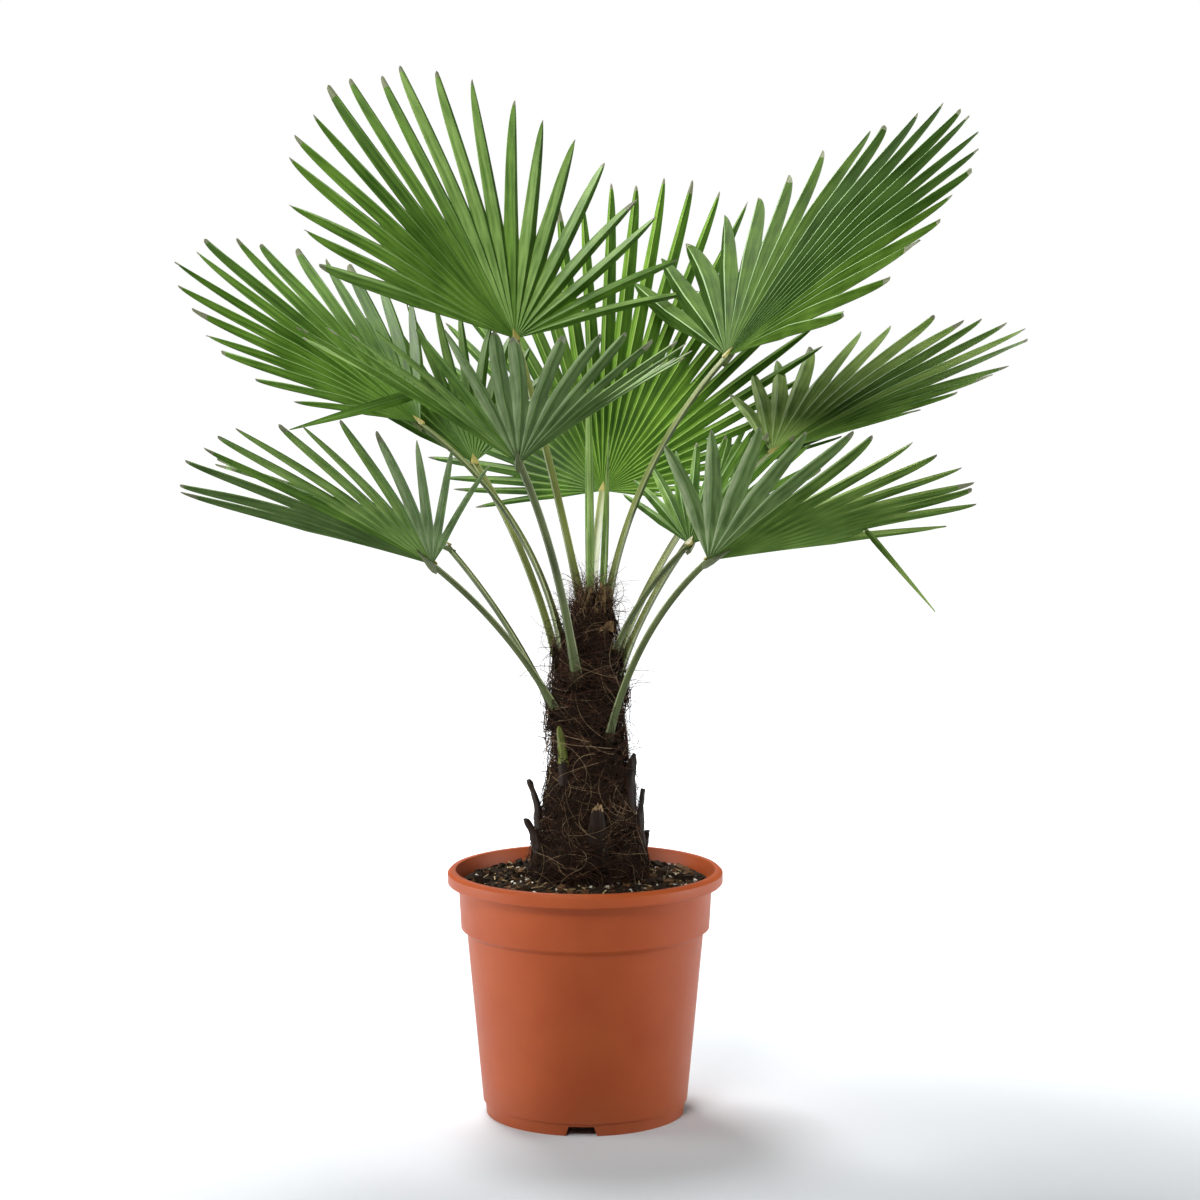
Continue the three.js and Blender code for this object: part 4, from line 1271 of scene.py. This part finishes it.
# The half of a leaflet that faces the light, up and to the left, is painted paler above and beneath as
# painted light, and the other half darker as painted shade. Leaflets in the painted shade range take the
# darkest tones, and those in pale the paler ones as painted light.
# The result is the slots of the left and the right half, for the upper side and the underside.
def halfShades(frond, axes, leaf, index):
    middle, side, _ = axes
    rightwards = side * math.cos(leaf["middle"]) - middle * math.sin(leaf["middle"])
    rightPaintedLit = rightwards.dot(leafShape["paintedLightFrom"]) > 0
    pick = chance(index, frond["seed"] + 7)
    paintedShade = inRange(frond, "paintedShade", index)
    bright = inRange(frond, "pale", index)
    pale = 0 if paintedShade or (pick > 0.7 and not bright) else 1
    dark = 2 if paintedShade or (pick < 0.7 and not bright) else 0
    upper = (dark, pale) if rightPaintedLit else (pale, dark)
    under = (3, 4) if rightPaintedLit else (4, 3)
    return upper, upper if inRange(frond, "darkBelow", index) else under


def addLeaflet(blade, frond, axes, index):
    leaf = leafletOf(frond, index)
    bent = frond.get("bent")
    keeps = bent[1] if bent and bent[0] == index else 1
    notch = notchAt(frond, leaf["middle"])
    lastOpen = [gapNotch(frond, index), gapNotch(frond, index + 1)]
    rows = [row for row in leafShape["joinedRows"] if row <= max(lastOpen)]
    tip = max(mix(notch, leaf["tip"], keeps), rows[-1] + 0.02)
    rows += [mix(rows[-1], tip, share) for share in leafShape["freeRows"]]
    wide = len(leafShape["across"])
    ring = 2 * wide
    first = len(blade["points"])
    for along in rows:
        points, grain = leafletRow(frond, axes, leaf, index, along, tip)
        blade["points"] += points
        blade["grain"] += grain
    shades = halfShades(frond, axes, leaf, index)
    dryShare = leafShape["dryLeast"] + leafShape["dryMore"] * chance(index, frond["seed"] + 11) ** 2
    outer = [index == 0, index == frond["leaflets"] - 1]
    for k in range(len(rows) - 1):
        dry = rows[k] > tip - dryShare * (tip - notch) * 1.5
        for j in range(ring):
            onRight = j == wide - 1
            onLeft = j == ring - 1
            if onRight and rows[k + 1] <= lastOpen[1] and not outer[1]:
                continue
            if onLeft and rows[k + 1] <= lastOpen[0] and not outer[0]:
                continue
            a = first + k * ring + j
            b = first + k * ring + (j + 1) % ring
            middle = j in (wide // 2 - 1, wide + wide // 2 - 1)
            top = j < wide - 1
            right = (j if top else ring - 2 - j) > wide // 2 - 1
            slot = leafSlot["rib"] if middle else shades[0 if top else 1][right]
            addFace(blade, [a, a + ring, b + ring, b], leafSlot["dry"] if dry else slot)
    end = len(blade["points"])
    sag = leaf["sag"] * reachAt(frond, leaf["middle"])
    blade["points"].append(bladePoint(frond, axes, leaf["middle"] + leaf["sway"], tip, 0) - up * sag)
    blade["grain"].append((0, reachAt(frond, leaf["middle"]) * tip * mm))
    last = first + (len(rows) - 1) * ring
    for j in range(ring):
        addFace(blade, [last + j, end, last + (j + 1) % ring], leafSlot["dry"])


# The small flap on the upper side where stalk and leaflets meet, and the stalk's end under it
hubShape = {
    "flapLength": 11, "flapWidth": 9, "flapRise": 2.2, "flapLift": 1.2,
    "rootLength": 30, "rootDepth": 4.5, "rootSink": 0.8,
    "narrows": 0.3, "thinsOut": 0.7,
    "outline": [(-0.35, 0), (-0.2, 0.5), (0.1, 0.5), (0.45, 0.3),  # shares of length and width
                (1, 0), (0.45, -0.3), (0.1, -0.5), (-0.2, -0.5)],
}


def addHub(blade, axes, frond):
    middle, side, face = axes
    hub = Vector(frond["hub"])
    look = hubShape
    shapes = [
        (hub + face * look["flapLift"], look["flapLength"], look["flapWidth"], look["flapRise"], "flap"),
        (hub - face * look["rootSink"], look["rootLength"], stalkShape["hubWidth"],
         -look["rootDepth"], "keel"),
    ]
    count = len(look["outline"])
    for centre, length, width, rise, slotName in shapes:
        slot = leafSlot[slotName]
        first = len(blade["points"])
        for level in (0, 1):
            for along, across in look["outline"]:
                wide = across * width * (1 - look["narrows"] * level)
                high = rise * level * (1 - look["thinsOut"] * max(0, along))
                spot = centre + middle * (along * length) + side * wide
                blade["points"].append(spot + face * high)
                blade["grain"].append((across * width * mm, along * length * mm))
        addFace(blade, [first + i for i in range(count)], slot)
        addFace(blade, [first + count + i for i in reversed(range(count))], slot)
        for i in range(count):
            a, b = first + i, first + (i + 1) % count
            addFace(blade, [a, a + count, b + count, b], slot)


def makeBlade(name, frond):
    axes = bladeAxes(frond)
    blade = newShape()
    for index in range(frond["leaflets"]):
        addLeaflet(blade, frond, axes, index)
    addHub(blade, axes, frond)
    kind = leafKind.get(name, "grown")
    young = kind == "young"
    materials = [*leafSkin[kind], youngRib if young else leafRib, dryTip, hubSkin, stalkPaintedShadeKeel]
    piece = meshPiece("fanBlade_" + name, blade, materials)
    editAll(piece, bpy.ops.mesh.remove_doubles, threshold=0.004 * mm)
    finishPiece(piece, ["blade_" + name], 24)


# The hanging end of a folded leaflet: a narrow V-shaped strip that sags a little
bentShape = {"tipWidth": 1, "valley": 0.2, "sag": 2.4, "rows": 12, "thickness": 0.8}


def makeBentEnd(name, frond):
    look = bentShape
    index, keeps, end, width = frond["bent"]
    leaf = leafletOf(frond, index)
    bend = mix(notchAt(frond, leaf["middle"]), leaf["tip"], keeps)
    knee = bladePoint(frond, bladeAxes(frond), leaf["middle"] + leaf["sway"], bend, 0)
    end = Vector(end)
    way = (end - knee).normalized()
    broad = Vector((0, 1, 0)).cross(way).normalized()  # its face is to the viewer
    thin = broad.cross(way)
    shape = newShape()
    rows = look["rows"]
    for k in range(rows + 1):
        t = k / rows
        centre = knee.lerp(end, t) + thin * (look["sag"] * math.sin(math.pi * t))
        half = mix(width, look["tipWidth"], t ** 1.8) * min(1, 0.4 + 5 * t) / 2
        dip = look["valley"] * width * (1 - t)
        row = [(-1, dip), (-0.07, 0), (0.07, 0), (1, dip)]
        for level, side in ((0.5, row), (-0.5, row[::-1])):
            for c, rise in side:
                lift = rise + level * look["thickness"]
                shape["points"].append(centre + broad * (c * half) + thin * lift)
                shape["grain"].append((c * half * mm, t * (end - knee).length * mm))
    around = 2 * len(row)
    joinRings(shape, 0, rows + 1, around,
              lambda j: leafSlot["rib"] if j in (1, 5) else 0 if j < 3 else 3)
    addFace(shape, list(range(around)), 3)
    addFace(shape, [around * rows + i for i in reversed(range(around))], leafSlot["dry"])
    materials = [*leafSkin[leafKind.get(name, "grown")], leafRib, dryTip]
    piece = meshPiece("foldedLeaflet_" + name, shape, materials)
    editAll(piece, bpy.ops.mesh.normals_make_consistent, inside=False)
    finishPiece(piece, ["bent_leaflet_" + name], 30)


for name, frond in fronds.items():
    makeBlade(name, frond)
    if "bent" in frond:
        makeBentEnd(name, frond)
print("blades made")


# Unopened leaves: folded leaflets packed side by side, their tips at different heights

spears = {
    "tall": {"foot": (5, -2, 532.4), "tip": (3, 6, 800), "radius": 8.6, "strips": 10, "seed": 3},
    "short": {"foot": (18, 3, 532.4), "tip": (24, 10, 690), "radius": 5.6, "strips": 7, "seed": 5},
}
spearShape = {"rows": 16, "stripWidth": 8, "stripThickness": 1.6, "shortest": 0.72}


def makeSpear(name, spear):
    look = spearShape
    foot, tip = Vector(spear["foot"]), Vector(spear["tip"])
    length = (tip - foot).length
    shape = newShape()
    rows = look["rows"]
    for n in range(spear["strips"]):
        turn = n * 360 / spear["strips"] + 40 * chance(n, spear["seed"])
        out = bearing(turn)
        side = up.cross(out)
        reach = mix(look["shortest"], 1, chance(n, spear["seed"] + 1)) if n else 1
        first = len(shape["points"])
        for k in range(rows + 1):
            t = k / rows
            share = t * reach
            swell = 0.75 + 0.6 * share - 1.2 * share * share
            off = spear["radius"] * max(0.12, swell) * 0.55 * (0.3 if n == 0 else 1)
            centre = foot.lerp(tip, share) + out * off
            width = look["stripWidth"] * (1 - 0.8 * t ** 3) * max(0.25, swell) / 2
            thick = look["stripThickness"] * (1 - 0.6 * t) / 2
            for c, rise in ((-1, -0.9), (0, 0.9), (1, -0.9), (0, -0.2)):
                shape["points"].append(centre + side * (c * width) + out * (rise * thick))
                shape["grain"].append((c * width * mm, share * length * mm))
        joinRings(shape, first, rows + 1, 4, lambda j: 0 if j in (1, 2) else n % 2)
        last = first + 4 * rows
        addFace(shape, [first + 3, first + 2, first + 1, first], 0)
        addFace(shape, [last, last + 1, last + 2, last + 3], 0)
    piece = meshPiece("foldedLeaf_" + name, shape, [spearSkin, leafSkin["young"][3]])
    editAll(piece, bpy.ops.mesh.normals_make_consistent, inside=False)
    finishPiece(piece, ["spear_" + name], 30)


for name, spear in spears.items():
    makeSpear(name, spear)
print("unopened leaves made")


# Floor, light and camera

stageLook = {
    "floor": "#d6dade",
    "floorGlow": 0.0,  # close to the pot
    "farPaintedGlow": 1.0,  # further out the floor glows: painted light that stands in for a lit backdrop
    "paintedGlowStart": 0.4,
    "paintedGlowEnd": 2.2,
    "left": {"place": (-2.3, -0.1, 0.55), "size": 1.2, "power": 38},
    "right": {"place": (2.3, 0.0, 0.55), "size": 1.2, "power": 34},
    "top": {"place": (-0.6, 1.3, 2.65), "size": 1.2, "power": 112},
    "crown": {"place": (-0.7, -2.1, 2.4), "size": 1.1, "power": 8.5, "aim": (0, 0, 1.05), "spread": 54},
    "room": 0.12,
    "backdrop": 1.0,
    "cameraPlace": (0.015, -2.8, 0.792),
    "cameraPitch": -5.46,
    "lens": 83.6,
}


# A white floor: plain paint near the pot, and further out a painted glow that makes it brighter, so that
# no horizon shows
def makeFloor():
    onlySelect(None)
    bpy.ops.mesh.primitive_plane_add(size=60, location=(0, 0, 0))
    floor = bpy.context.object
    floor.name = "studioFloor"
    material, tree, shader = newMaterial("paintedStudioFloor")
    where = addNode(tree, "ShaderNodeTexCoord").outputs["Object"]
    away = addNode(tree, "ShaderNodeVectorMath", {"operation": "LENGTH"}, {0: where})
    glow = addNode(tree, "ShaderNodeMapRange", {"interpolation_type": "SMOOTHSTEP"}, {
        "Value": away.outputs["Value"],
        "From Min": stageLook["paintedGlowStart"], "From Max": stageLook["paintedGlowEnd"],
        "To Min": stageLook["floorGlow"], "To Max": stageLook["farPaintedGlow"]})
    tree.links.new(glow.outputs["Result"], shader.inputs["Emission Strength"])
    speckle = addNode(tree, "ShaderNodeTexNoise", None, {"Vector": where, "Scale": 3.0})
    rough = addNode(tree, "ShaderNodeMapRange", None, {
        "Value": speckle.outputs["Fac"], "To Min": 0.7, "To Max": 0.8})
    tree.links.new(rough.outputs["Result"], shader.inputs["Roughness"])
    shader.inputs["Base Color"].default_value = hexColour(stageLook["floor"])
    shader.inputs["Emission Color"].default_value = (1, 1, 1, 1)
    shader.inputs["Specular IOR Level"].default_value = 0.1
    floor.data.materials.append(material)


def addSoftbox(name):
    look = stageLook[name]
    onlySelect(None)
    bpy.ops.object.light_add(type="AREA", location=look["place"])
    lamp = bpy.context.object
    lamp.name = name + "Softbox"
    lamp.data.size = look["size"]
    lamp.data.energy = look["power"]
    lamp.data.spread = math.radians(look.get("spread", 180))
    aim = Vector(look.get("aim", (0, 0, 0.55))) - Vector(look["place"])
    lamp.rotation_euler = aim.to_track_quat("-Z", "Y").to_euler()


def makeRoom():
    world = bpy.data.worlds.new("paleRoom")
    bpy.context.scene.world = world
    world.use_nodes = True
    tree = world.node_tree
    seen = addNode(tree, "ShaderNodeLightPath")
    strength = addNode(tree, "ShaderNodeMix", {"data_type": "FLOAT"}, {
        0: seen.outputs["Is Camera Ray"], 2: stageLook["room"], 3: stageLook["backdrop"]})
    background = tree.nodes["Background"]
    background.inputs["Color"].default_value = (1, 1, 1, 1)
    tree.links.new(strength.outputs[0], background.inputs["Strength"])


def makeCamera():
    bpy.ops.object.camera_add(location=stageLook["cameraPlace"])
    camera = bpy.context.object
    camera.name = "photoCamera"
    camera.rotation_euler = (math.radians(90 + stageLook["cameraPitch"]), 0, 0)
    camera.data.lens = stageLook["lens"]
    camera.data.sensor_width = 36
    camera.data.clip_end = 100
    bpy.context.scene.camera = camera


makeFloor()
for lampName in ("left", "right", "top", "crown"):
    addSoftbox(lampName)
makeRoom()
makeCamera()
bpy.context.scene.view_settings.view_transform = "Standard"
print("floor, light and camera set")
